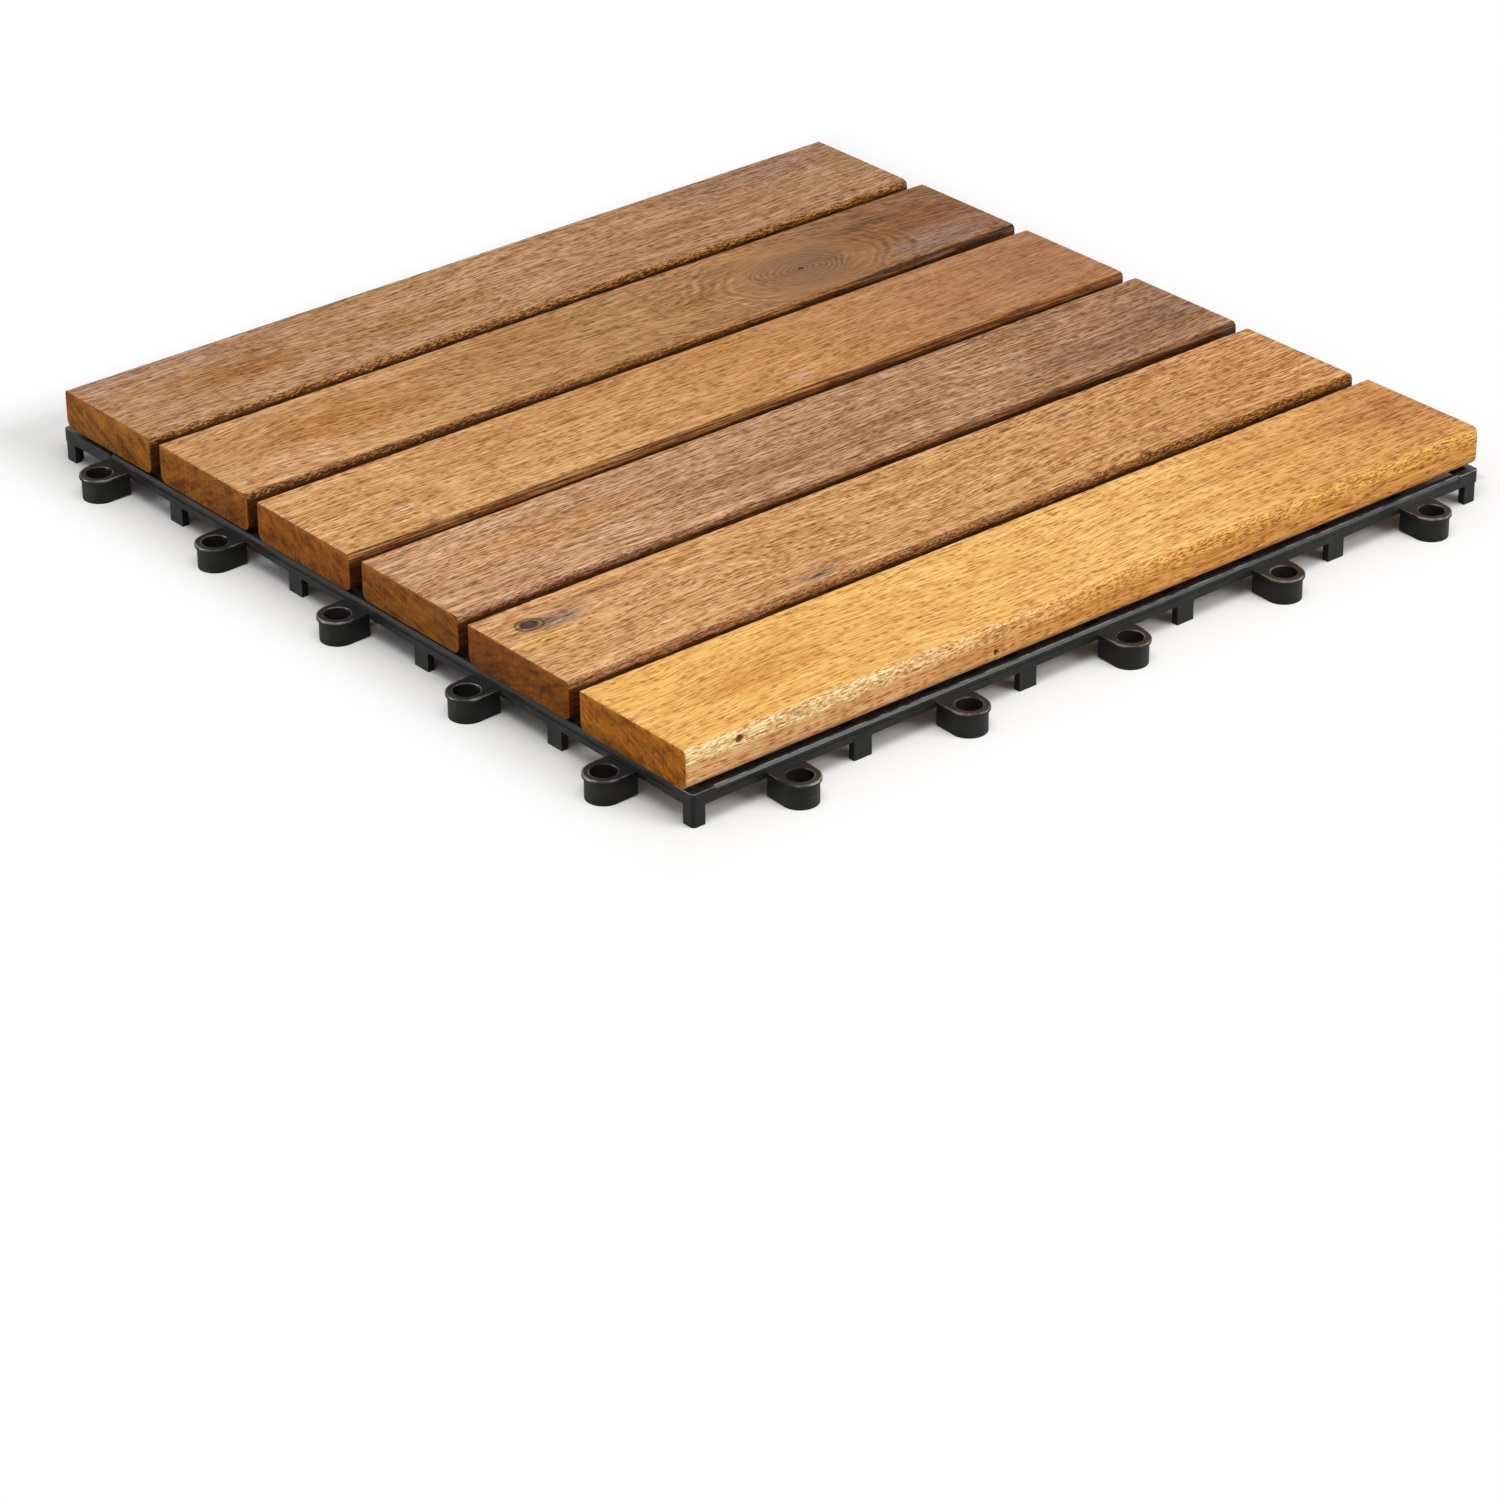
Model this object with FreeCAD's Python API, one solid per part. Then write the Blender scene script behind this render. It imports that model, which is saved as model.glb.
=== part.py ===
import FreeCAD, Part
import math
import os

# Interlocking deck tile: six hardwood boards screwed from below to a moulded plastic grid.
# Lengths are in mm. The origin is on the floor under the middle of the grid, Z points up,
# and the boards run along X. The loops stand out of the -X and -Y sides, and the pegs that
# drop into a neighbour's loops hang under the +X and +Y sides.

Vec = FreeCAD.Vector
UP = Vec(0, 0, 1)

# Tile layout
GRID_SIZE = 298.0           # the moulded grid, outer face to outer face, both ways
GRID_GAP = 2.0              # between the grids of two laid tiles
GRID_HEIGHT = 11.3          # floor to the rib tops that the boards lie on
LINK_COUNT = 5              # loops or pegs along a side
LINK_SHIFT = 2.1            # towards +X, for the loops of the -Y side and the pegs of the +Y side

# Boards
BOARD_COUNT = 6
BOARD_MARGIN = 0.5          # how much shorter a board is than the grid
BOARD_GAP = 5.3             # between neighbouring boards
BOARD_THICK = 11.95
BOARD_TOP_ROUND = 1.5
BOARD_BOTTOM_ROUND = 2.6
BOARD_SET_X = -0.73         # the whole set lies a little towards the loop sides
BOARD_SET_Y = -0.78
BOARD_STAGGER = (-0.9, -0.3, 0.35, -0.05, 0.3, 0.5)  # of the near ends, from the -Y board to the +Y one
BOARD_EXTRA = (1.5, 0.0, 0.0, 0.4, 0.0, -1.7)        # what the saw left on or took off, at the far ends

# Outer rail of the grid
RAIL_BOTTOM = 6.0
RAIL_TOP = 10.1
RAIL_WALL = 2.4
RAIL_FACE_TOP = 8.1         # top of the plain lower face, where the groove starts
GROOVE_WIDTH = 0.35
GROOVE_DEPTH = 0.4
BAND_SET = 0.12             # how far the band above the groove stands back from the face
RAIL_BEVEL = 0.75
CORNER_BLOCK = 8.0          # length of the full-height block at each corner
CORNER_ROUND = 1.2
LONG_BLOCK = 25.0           # the block at the +Y end of the -X side runs on to the first loop

# Ribs
RIB_WALL = 2.0
RIB_DEPTH = 5.0
RIB_INSET = 4.6             # from the outer face to where a rib drops to the rail's height

# Feet and legs
FOOT_SPAN = 12.0
FOOT_ROWS = 3
LEG_WIDTH = 6.2
LEG_WALL = 2.2
CORNER_LEG_WIDTH = 4.2
CORNER_LEG_INSET = 1.3      # how far a corner leg stands in from a peg side
BLEND = 0.5                 # how far a piece of the moulding runs into what carries it

# Loops
LOOP_REACH = 6.7            # outer face to hole centre
LOOP_TOP = 7.8
LOOP_HOLE_R = 3.85
LOOP_BARREL_R = 5.4
LOOP_LIP_R = 6.0
LOOP_LIP_DEPTH = 1.1
LOOP_TAIL_RISE = 0.6        # the lower edge rises this much towards the rail

# Pegs
PEG_CLEARANCE = 0.15        # radial, in a loop
PEG_BOTTOM = 1.0
PEG_WEB = 1.6               # thickness of the plate that carries the peg
LINK_CLEARANCE = 0.4        # round and above a neighbour's loop

# Screws, two to a board, in line with the outermost ribs
SCREW_R = 1.75
SCREW_BITE = 8.4            # how far it goes into the board
SCREW_HEAD_R = 3.5
SCREW_HEAD_HEIGHT = 2.2
PAD_SIZE = 10.0             # the square block of the moulding that a screw passes through
PAD_DEPTH = 6.2
SLOT_CLEARANCE = 0.3        # on each side of the screw, along the board
SLOT_PLAY = 1.3             # on each side of the screw, across the board, for the timber to move
PILOT_CLEARANCE = 0.03      # radial, round the screw in the board
PILOT_SPARE = 0.3           # how much deeper the hole is than the screw

FACE = GRID_SIZE / 2
TILE_PITCH = GRID_SIZE + GRID_GAP       # from one laid tile's middle to the next one's
LINK_PITCH = TILE_PITCH / LINK_COUNT
BOARD_PITCH = TILE_PITCH / BOARD_COUNT
BOARD_LENGTH = GRID_SIZE - BOARD_MARGIN
BOARD_WIDTH = BOARD_PITCH - BOARD_GAP
RIB_BOTTOM = GRID_HEIGHT - RIB_DEPTH
PAD_BOTTOM = GRID_HEIGHT - PAD_DEPTH
PEG_X = TILE_PITCH - FACE - LOOP_REACH
PEG_R = LOOP_HOLE_R - PEG_CLEARANCE
POCKET_TOP = LOOP_TOP + LINK_CLEARANCE
PAST = 1.0                  # how far a cutter runs past what it cuts

FRONT, LEFT, BACK, RIGHT = 0, -90, 180, 90  # each side as a turn of the -Y side about Z
LOOP_SIDES = (FRONT, LEFT)
PEG_SIDES = (BACK, RIGHT)
SIDES = LOOP_SIDES + PEG_SIDES


def centred(count, pitch):
    """Places of count things at a pitch, about the middle."""
    return [(i - (count - 1) / 2) * pitch for i in range(count)]


def link_places(side):
    """Places of the loops or pegs along a side, as they are before the turn to it."""
    shift = {FRONT: LINK_SHIFT, BACK: -LINK_SHIFT}.get(side, 0)
    return [place + shift for place in LINK_PLACES]


LINK_PLACES = centred(LINK_COUNT, LINK_PITCH)
LEG_PLACES = centred(LINK_COUNT - 1, LINK_PITCH)
RIB_PLACES = centred(2 * LINK_COUNT - 1, LINK_PITCH / 2)
BOARD_PLACES = centred(BOARD_COUNT, BOARD_PITCH)
SCREW_PLACES = [(x, y) for y in BOARD_PLACES for x in (RIB_PLACES[0], RIB_PLACES[-1])]


def block(x, y, z):
    """A box from three (low, high) pairs."""
    return Part.makeBox(x[1] - x[0], y[1] - y[0], z[1] - z[0], Vec(x[0], y[0], z[0]))


def about(middle, width):
    """The (low, high) pair of a width about a middle."""
    return (middle - width / 2, middle + width / 2)


def prism(points, way):
    """A flat outline swept along a vector."""
    return Part.Face(Part.makePolygon(points + points[:1])).extrude(way)


def on_side(shape, side):
    """Turn a shape that was made at the -Y side to another side."""
    turned = shape.copy()
    turned.rotate(Vec(0, 0, 0), UP, side)
    return turned


def d_prism(radius, place, centre_y, back_y, z):
    """A D in plan: a half round about a centre, with straight sides running back along +Y."""
    left = Vec(place - radius, centre_y, z[0])
    right = Vec(place + radius, centre_y, z[0])
    nose = Vec(place, centre_y - radius, z[0])
    back_right = Vec(place + radius, back_y, z[0])
    back_left = Vec(place - radius, back_y, z[0])
    edges = [
        Part.Arc(left, nose, right).toShape(),
        Part.makeLine(right, back_right),
        Part.makeLine(back_right, back_left),
        Part.makeLine(back_left, left),
    ]
    return Part.Face(Part.Wire(edges)).extrude(UP * (z[1] - z[0]))


def rails():
    """The four outer walls, still square."""
    outer = block((-FACE, FACE), (-FACE, FACE), (RAIL_BOTTOM, RAIL_TOP))
    inside = (-FACE + RAIL_WALL, FACE - RAIL_WALL)
    return outer.cut(block(inside, inside, (RAIL_BOTTOM - PAST, RAIL_TOP + PAST)))


def corner_rounding():
    """What comes off the four upright corners."""
    square = block((-FACE - PAST, FACE + PAST), (-FACE - PAST, FACE + PAST), (-PAST, GRID_HEIGHT))
    kept = block((-FACE, FACE), (-FACE, FACE), (-PAST, GRID_HEIGHT))
    upright = [e for e in kept.Edges if abs(e.tangentAt(e.FirstParameter).z) > 0.99]
    return square.cut(kept.makeFillet(CORNER_ROUND, upright))


def rail_step(side):
    """What comes off a rail's outer face above the groove line, between its corner blocks."""
    start = -FACE + CORNER_BLOCK
    if side == LEFT:
        start = -FACE + LONG_BLOCK
    groove_top = RAIL_FACE_TOP + GROOVE_WIDTH
    band = -FACE + BAND_SET
    section = [
        Vec(start, -FACE - PAST, RAIL_FACE_TOP),
        Vec(start, -FACE + GROOVE_DEPTH, RAIL_FACE_TOP),
        Vec(start, -FACE + GROOVE_DEPTH, groove_top),
        Vec(start, band, groove_top),
        Vec(start, band, RAIL_TOP - RAIL_BEVEL),
        Vec(start, band + RAIL_BEVEL, RAIL_TOP),
        Vec(start, band + RAIL_BEVEL, RAIL_TOP + PAST),
        Vec(start, -FACE - PAST, RAIL_TOP + PAST),
    ]
    return prism(section, Vec(FACE - CORNER_BLOCK - start, 0, 0))


def ribs():
    """The ribs, closer together across the boards than along them, and as low as the rail beside it."""
    high = FACE - RIB_INSET
    wall = FACE - RAIL_WALL + BLEND
    out = []
    for length, top in ((2 * high, GRID_HEIGHT), (2 * wall, RAIL_TOP)):
        for x in RIB_PLACES:
            out.append(block(about(x, RIB_WALL), about(0, length), (RIB_BOTTOM, top)))
        for y in LINK_PLACES:
            out.append(block(about(0, length), about(y, RIB_WALL), (RIB_BOTTOM, top)))
    return out


def foot(x, y):
    """A cross-shaped foot under a rib crossing."""
    height = (0, RIB_BOTTOM + BLEND)
    along = block(about(x, FOOT_SPAN), about(y, RIB_WALL), height)
    across = block(about(x, RIB_WALL), about(y, FOOT_SPAN), height)
    return [along, across]


def feet():
    """Rows of feet in line with the side legs, and one foot in the middle."""
    out = foot(0, 0)
    for x in LEG_PLACES:
        for y in centred(FOOT_ROWS, LINK_PITCH):
            out += foot(x, y)
    return out


def side_legs():
    """The legs under the rails, flush with their faces."""
    height = (0, RAIL_BOTTOM + BLEND)
    out = []
    for side in SIDES:
        for place in LEG_PLACES:
            leg = block(about(place, LEG_WIDTH), (-FACE, -FACE + LEG_WALL), height)
            out.append(on_side(leg, side))
    return out


def corner_legs():
    """An L-shaped leg under each corner, set in from the peg sides."""
    height = (0, RAIL_BOTTOM + BLEND)
    out = []
    for sign_x in (-1, 1):
        for sign_y in (-1, 1):
            corner_x = FACE - (CORNER_LEG_INSET if sign_x > 0 else 0)
            corner_y = FACE - (CORNER_LEG_INSET if sign_y > 0 else 0)
            wide_x = sorted((sign_x * corner_x, sign_x * (corner_x - CORNER_LEG_WIDTH)))
            wall_x = sorted((sign_x * corner_x, sign_x * (corner_x - LEG_WALL)))
            wide_y = sorted((sign_y * corner_y, sign_y * (corner_y - CORNER_LEG_WIDTH)))
            wall_y = sorted((sign_y * corner_y, sign_y * (corner_y - LEG_WALL)))
            out.append(block(wide_x, wall_y, height))
            out.append(block(wall_x, wide_y, height))
    return out


def loop(place):
    """One loop at the -Y side: a D-shaped barrel under a wider D-shaped lip."""
    centre_y = -FACE - LOOP_REACH
    back_y = -FACE + BLEND
    lip = d_prism(LOOP_LIP_R, place, centre_y, back_y, (LOOP_TOP - LOOP_LIP_DEPTH, LOOP_TOP))
    barrel = d_prism(LOOP_BARREL_R, place, centre_y, back_y, (0, LOOP_TOP))
    tail = [
        Vec(place - LOOP_LIP_R, centre_y, 0),
        Vec(place - LOOP_LIP_R, back_y + PAST, LOOP_TAIL_RISE),
        Vec(place - LOOP_LIP_R, back_y + PAST, -PAST),
        Vec(place - LOOP_LIP_R, centre_y, -PAST),
    ]
    return lip.fuse(barrel.cut(prism(tail, Vec(2 * LOOP_LIP_R, 0, 0))))


def loop_hole(place):
    """The hole of one loop."""
    bottom = Vec(place, -FACE - LOOP_REACH, -PAST)
    return Part.makeCylinder(LOOP_HOLE_R, LOOP_TOP + 2 * PAST, bottom)


def link_pocket(place):
    """The room under a peg side for a neighbour's loop, made at the -Y side."""
    radius = LOOP_LIP_R + LINK_CLEARANCE
    pocket = d_prism(radius, -place, PEG_X, FACE + PAST, (-PAST, POCKET_TOP))
    return on_side(pocket, BACK)


def peg(place):
    """One peg and the plate that carries it, made at the -Y side."""
    shank = Part.makeCylinder(PEG_R, POCKET_TOP - PEG_BOTTOM, Vec(place, -PEG_X, PEG_BOTTOM))
    across = (-FACE + RAIL_WALL - BLEND, -PEG_X + PEG_R)
    web = block(about(place, 2 * PEG_R), across, (POCKET_TOP, POCKET_TOP + PEG_WEB))
    return [shank, web]


def screw_pad(x, y):
    """The block that a screw's head pulls against."""
    return block(about(x, PAD_SIZE), about(y, PAD_SIZE), (PAD_BOTTOM, GRID_HEIGHT))


def screw_slot(x, y):
    """The slot through a pad, longer across the board."""
    width = 2 * (SCREW_R + SLOT_CLEARANCE)
    length = 2 * (SCREW_R + SLOT_PLAY)
    return block(about(x, width), about(y, length), (PAD_BOTTOM - PAST, GRID_HEIGHT + PAST))


def base_grid():
    """The moulded grid as one solid."""
    body = [rails()] + ribs() + feet() + side_legs() + corner_legs()
    body += [screw_pad(x, y) for x, y in SCREW_PLACES]
    grid = body[0].fuse(body[1:])
    cutters = [corner_rounding()] + [on_side(rail_step(side), side) for side in SIDES]
    cutters += [on_side(link_pocket(place), side) for side in PEG_SIDES for place in link_places(side)]
    grid = grid.cut(cutters)
    links = [on_side(loop(place), side) for side in LOOP_SIDES for place in link_places(side)]
    for side in PEG_SIDES:
        for place in link_places(side):
            links += [on_side(piece, side) for piece in peg(place)]
    grid = grid.fuse(links).removeSplitter()
    holes = [on_side(loop_hole(place), side) for side in LOOP_SIDES for place in link_places(side)]
    holes += [screw_slot(x, y) for x, y in SCREW_PLACES]
    return grid.cut(holes)


def board_outline(start_x, middle_y):
    """A board's section: small rounds along the top edges, larger ones below."""
    low, high = about(middle_y, BOARD_WIDTH)
    bottom, top = GRID_HEIGHT, GRID_HEIGHT + BOARD_THICK
    corners = [
        (low, bottom, BOARD_BOTTOM_ROUND, 1, 1),
        (high, bottom, BOARD_BOTTOM_ROUND, -1, 1),
        (high, top, BOARD_TOP_ROUND, -1, -1),
        (low, top, BOARD_TOP_ROUND, 1, -1),
    ]
    arcs = []
    for y, z, radius, way_y, way_z in corners:
        middle = radius * (1 - math.sqrt(0.5))
        on_upright = Vec(start_x, y, z + way_z * radius)
        on_level = Vec(start_x, y + way_y * radius, z)
        between = Vec(start_x, y + way_y * middle, z + way_z * middle)
        ends = (on_upright, on_level) if way_y * way_z > 0 else (on_level, on_upright)
        arcs.append((ends[0], between, ends[1]))
    edges = []
    for i, arc in enumerate(arcs):
        following = arcs[(i + 1) % len(arcs)]
        edges.append(Part.Arc(*arc).toShape())
        edges.append(Part.makeLine(arc[2], following[0]))
    return Part.Wire(edges)


def pilot_hole(x, y):
    """The hole for a screw in a board, from its underside up."""
    depth = SCREW_BITE + PILOT_SPARE
    bottom = Vec(x, y, GRID_HEIGHT - PAST)
    return Part.makeCylinder(SCREW_R + PILOT_CLEARANCE, depth + PAST, bottom)


def board(index):
    """One board with its pilot holes, counted from the -Y side."""
    start_x = BOARD_SET_X + BOARD_STAGGER[index] - BOARD_LENGTH / 2
    middle_y = BOARD_SET_Y + BOARD_PLACES[index]
    length = BOARD_LENGTH + BOARD_EXTRA[index]
    bar = Part.Face(board_outline(start_x, middle_y)).extrude(Vec(length, 0, 0))
    return bar.cut([pilot_hole(x, y) for x, y in SCREW_PLACES if y == BOARD_PLACES[index]])


def screw(x, y):
    """One screw, driven up through its pad, turned from half its section."""
    head_z = PAD_BOTTOM - SCREW_HEAD_HEIGHT
    end_z = GRID_HEIGHT + SCREW_BITE
    half = [
        Vec(x, y, head_z),
        Vec(x + SCREW_HEAD_R, y, head_z),
        Vec(x + SCREW_HEAD_R, y, PAD_BOTTOM),
        Vec(x + SCREW_R, y, PAD_BOTTOM),
        Vec(x + SCREW_R, y, end_z),
        Vec(x, y, end_z),
    ]
    return Part.Face(Part.makePolygon(half + half[:1])).revolve(Vec(x, y, 0), UP, 360)


def main():
    """Write one STEP file for each piece."""
    os.makedirs("parts", exist_ok=True)
    pieces = {"base_grid": base_grid()}
    for index in range(BOARD_COUNT):
        pieces[f"slat_{BOARD_COUNT - index}"] = board(index)
    pieces["slat_screws"] = Part.makeCompound([screw(x, y) for x, y in SCREW_PLACES])
    for name, shape in pieces.items():
        shape.exportStep(f"parts/{name}.step")
        box = shape.BoundBox
        print(name, len(shape.Solids), "solids,", round(shape.Volume), "mm3, valid", shape.isValid(),
              "box", [round(v, 2) for v in (box.XMin, box.YMin, box.ZMin, box.XMax, box.YMax, box.ZMax)])


main()
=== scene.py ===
"""Interlocking deck tile, dressed for rendering: six acacia boards on a moulded black plastic grid.

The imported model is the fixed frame. The boards, the grid and the screws are rebuilt in its frame with the
detail that the solids leave out, and each stands for its node. Lengths are in metres; the finishes' places
and sizes are in millimetres from a board's near end and its back edge.
"""

import logging
import math
from collections.abc import Callable, Iterable, Mapping, Sequence
from dataclasses import dataclass, field
from enum import Enum

import bmesh
import bpy
from mathutils import Matrix, Vector, noise


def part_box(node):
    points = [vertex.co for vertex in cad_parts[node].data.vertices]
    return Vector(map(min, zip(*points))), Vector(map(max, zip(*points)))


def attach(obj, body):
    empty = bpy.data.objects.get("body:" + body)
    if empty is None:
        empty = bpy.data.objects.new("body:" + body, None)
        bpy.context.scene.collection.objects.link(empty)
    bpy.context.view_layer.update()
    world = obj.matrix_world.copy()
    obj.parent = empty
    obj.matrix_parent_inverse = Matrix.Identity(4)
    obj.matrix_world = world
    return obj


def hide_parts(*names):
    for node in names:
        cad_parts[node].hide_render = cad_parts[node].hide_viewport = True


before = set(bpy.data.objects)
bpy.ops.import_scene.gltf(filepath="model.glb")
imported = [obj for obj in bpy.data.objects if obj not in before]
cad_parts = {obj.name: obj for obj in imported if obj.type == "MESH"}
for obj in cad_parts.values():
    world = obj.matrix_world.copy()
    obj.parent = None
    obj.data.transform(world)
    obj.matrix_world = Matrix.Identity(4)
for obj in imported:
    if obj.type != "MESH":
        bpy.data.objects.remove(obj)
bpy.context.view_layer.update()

LOG = logging.getLogger("deck_tile")
MM = 0.001
BODY = "root"
HAIR = 0.01 * MM
LONG_EDGE = 100 * MM
SAME_POINT = 1e-6
SAME_PLANE = 1e-7
WHITE = (1.0, 1.0, 1.0, 1.0)

Socket = bpy.types.NodeSocket
Value = Socket | float | Sequence[float]
Tint = tuple[float, float, float]
Edge = bmesh.types.BMEdge
Vert = bmesh.types.BMVert
Face = bmesh.types.BMFace
BMesh = bmesh.types.BMesh
Node = bpy.types.Node
Material = bpy.types.Material
Object = bpy.types.Object


class SocketKind(Enum):
    """The kinds of socket that an effect has."""

    NUMBER = "NodeSocketFloat"
    VECTOR = "NodeSocketVector"


class KnotKind(Enum):
    """What the grain runs round."""

    KNOT = "knot"
    EYE = "eye"


class Side(Enum):
    """A side of the grid, with its turn about Z from the front, in degrees."""

    FRONT = 0
    LEFT = -90


def linear(code: str) -> Tint:
    """The linear colour of a six-digit sRGB code.

    Args:
        code: The colour as written for a screen, such as "E8B265".

    Returns:
        Its red, green and blue as linear light.
    """
    parts = [int(code[i:i + 2], 16) / 255 for i in (0, 2, 4)]
    light = [p / 12.92 if p <= 0.04045 else ((p + 0.055) / 1.055) ** 2.4 for p in parts]
    return light[0], light[1], light[2]


def opaque(colour: Tint) -> tuple[float, float, float, float]:
    """A colour with full alpha, as a colour socket takes it."""
    return (*colour, 1.0)


def paint(code: str) -> tuple[float, float, float, float]:
    """The colour of a six-digit sRGB code, as a colour socket takes it."""
    return opaque(linear(code))


def ratio(code: str, base: str) -> Tint:
    """What the base colour is multiplied by to give the coded one."""
    wanted, start = linear(code), linear(base)
    return wanted[0] / start[0], wanted[1] / start[1], wanted[2] / start[2]


def smooth_step(value: float, low: float, high: float) -> float:
    """A soft rise from 0 at low to 1 at high, which may be the smaller of the two."""
    t = min(max((value - low) / (high - low), 0.0), 1.0)
    return t * t * (3 - 2 * t)


class Graph:
    """A node tree with short calls that add a node, set it and link it."""

    def __init__(self, tree: bpy.types.NodeTree) -> None:
        """Keep the tree that the calls add to."""
        self.tree = tree

    def put(self, socket: Socket, value: Value) -> None:
        """Link a socket to an input, or write a value on it."""
        if isinstance(value, bpy.types.NodeSocket):
            self.tree.links.new(value, socket)
        else:
            socket.default_value = value

    def add(self, kind: str, values: Mapping[str | int, Value] | None = None,
            **settings: object) -> Node:
        """Add a node.

        Args:
            kind: The node's type.
            values: What its inputs take, by name or number.
            settings: Its own properties.

        Returns:
            The node.
        """
        node = self.tree.nodes.new(kind)
        for name, setting in settings.items():
            setattr(node, name, setting)
        for key, value in (values or {}).items():
            self.put(node.inputs[key], value)
        return node

    def calc(self, operation: str, *values: Value) -> Socket:
        """Do one sum on numbers."""
        return self.add("ShaderNodeMath", dict(enumerate(values)), operation=operation).outputs[0]

    def total(self, first: Value, *others: Value) -> Socket:
        """Add numbers up."""
        for other in others:
            first = self.calc("ADD", first, other)
        return first

    def product(self, first: Value, *others: Value) -> Socket:
        """Multiply numbers together."""
        for other in others:
            first = self.calc("MULTIPLY", first, other)
        return first

    def flip(self, value: Value) -> Socket:
        """One minus a number."""
        return self.calc("SUBTRACT", 1.0, value)

    def soft(self, value: Value, low: Value, high: Value) -> Socket:
        """A soft rise from 0 at low to 1 at high."""
        values = {"Value": value, "From Min": low, "From Max": high}
        return self.add("ShaderNodeMapRange", values, interpolation_type="SMOOTHSTEP").outputs["Result"]

    def between(self, value: Value, low: Value, high: Value) -> Socket:
        """Low where the number is 0, high where it is 1."""
        values = {"Value": value, "To Min": low, "To Max": high}
        return self.add("ShaderNodeMapRange", values).outputs["Result"]

    def blend(self, share: Value, first: Value, second: Value, how: str = "MIX") -> Socket:
        """Mix two colours.

        Args:
            share: How much of the second, from 0 to 1.
            first: The colour under it.
            second: The colour that is mixed in.
            how: The blend type.

        Returns:
            The mixed colour.
        """
        node = self.add("ShaderNodeMix", data_type="RGBA", blend_type=how)
        for key, value in ((0, share), (6, first), (7, second)):
            self.put(node.inputs[key], value)
        return node.outputs[2]

    def tint(self, colour: Value, share: Value, by: Tint) -> Socket:
        """Multiply a colour, by a tint where the share is 1 and by nothing where it is 0."""
        return self.blend(share, colour, opaque(by), "MULTIPLY")

    def split(self, vector: Value) -> tuple[Socket, Socket, Socket]:
        """The three numbers of a vector."""
        parts = self.add("ShaderNodeSeparateXYZ", {0: vector}).outputs
        return parts[0], parts[1], parts[2]

    def join(self, x: Value, y: Value, z: Value) -> Socket:
        """A vector from three numbers."""
        return self.add("ShaderNodeCombineXYZ", {0: x, 1: y, 2: z}).outputs[0]

    def vector(self, operation: str, *values: Value) -> Socket:
        """Do one sum on vectors."""
        return self.add("ShaderNodeVectorMath", dict(enumerate(values)), operation=operation).outputs[0]

    def length(self, x: Value, y: Value) -> Socket:
        """How far a point of a plane is from zero."""
        return self.calc("SQRT", self.total(self.product(x, x), self.product(y, y)))

    def swing(self, value: Value, *reach: Value) -> Socket:
        """Let noise from 0 to 1 swing to both sides of zero, as far as its reaches say."""
        return self.product(self.calc("SUBTRACT", value, 0.5), *reach)

    def attribute(self, name: str) -> Socket:
        """Read a mask that the mesh carries."""
        return self.add("ShaderNodeAttribute", attribute_name=name, attribute_type="GEOMETRY").outputs["Fac"]

    def bump(self, shader: Node, height: Value) -> None:
        """Raise and sink what a shader covers, by a height in millimetres."""
        bump = self.add("ShaderNodeBump", {"Strength": 1.0, "Distance": MM, "Height": height})
        self.put(shader.inputs["Normal"], bump.outputs["Normal"])

    def cells_of(self, vector: Value, size: Sequence[float], start: Value = 0.0) -> Socket:
        """Measure a place in cells of a size, from a start that sets one pattern apart from others."""
        scaled = self.vector("MULTIPLY", vector, [1 / s for s in size])
        return self.vector("ADD", scaled, self.join(start, start, start))

    def noise(self, vector: Value, detail: float = 2.0, roughness: float = 0.55) -> Socket:
        """Soft noise of one cell across, from 0 to 1."""
        values = {"Vector": vector, "Scale": 1.0, "Detail": detail, "Roughness": roughness}
        return self.add("ShaderNodeTexNoise", values).outputs["Fac"]

    def specks(self, vector: Value, kept: Value, width: float) -> Socket:
        """One soft speck in some of the cells.

        Args:
            vector: The place, in cells.
            kept: The share of the cells that have one.
            width: How far a speck reaches from its middle, in cells.

        Returns:
            1 in the middle of a speck and 0 between them.
        """
        values = {"Vector": vector, "Scale": 1.0, "Randomness": 1.0}
        cells = self.add("ShaderNodeTexVoronoi", values)
        pick = self.split(cells.outputs["Color"])[0]
        chosen = self.calc("LESS_THAN", pick, kept)
        return self.product(self.soft(cells.outputs["Distance"], width, width * 0.35), chosen)


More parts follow.
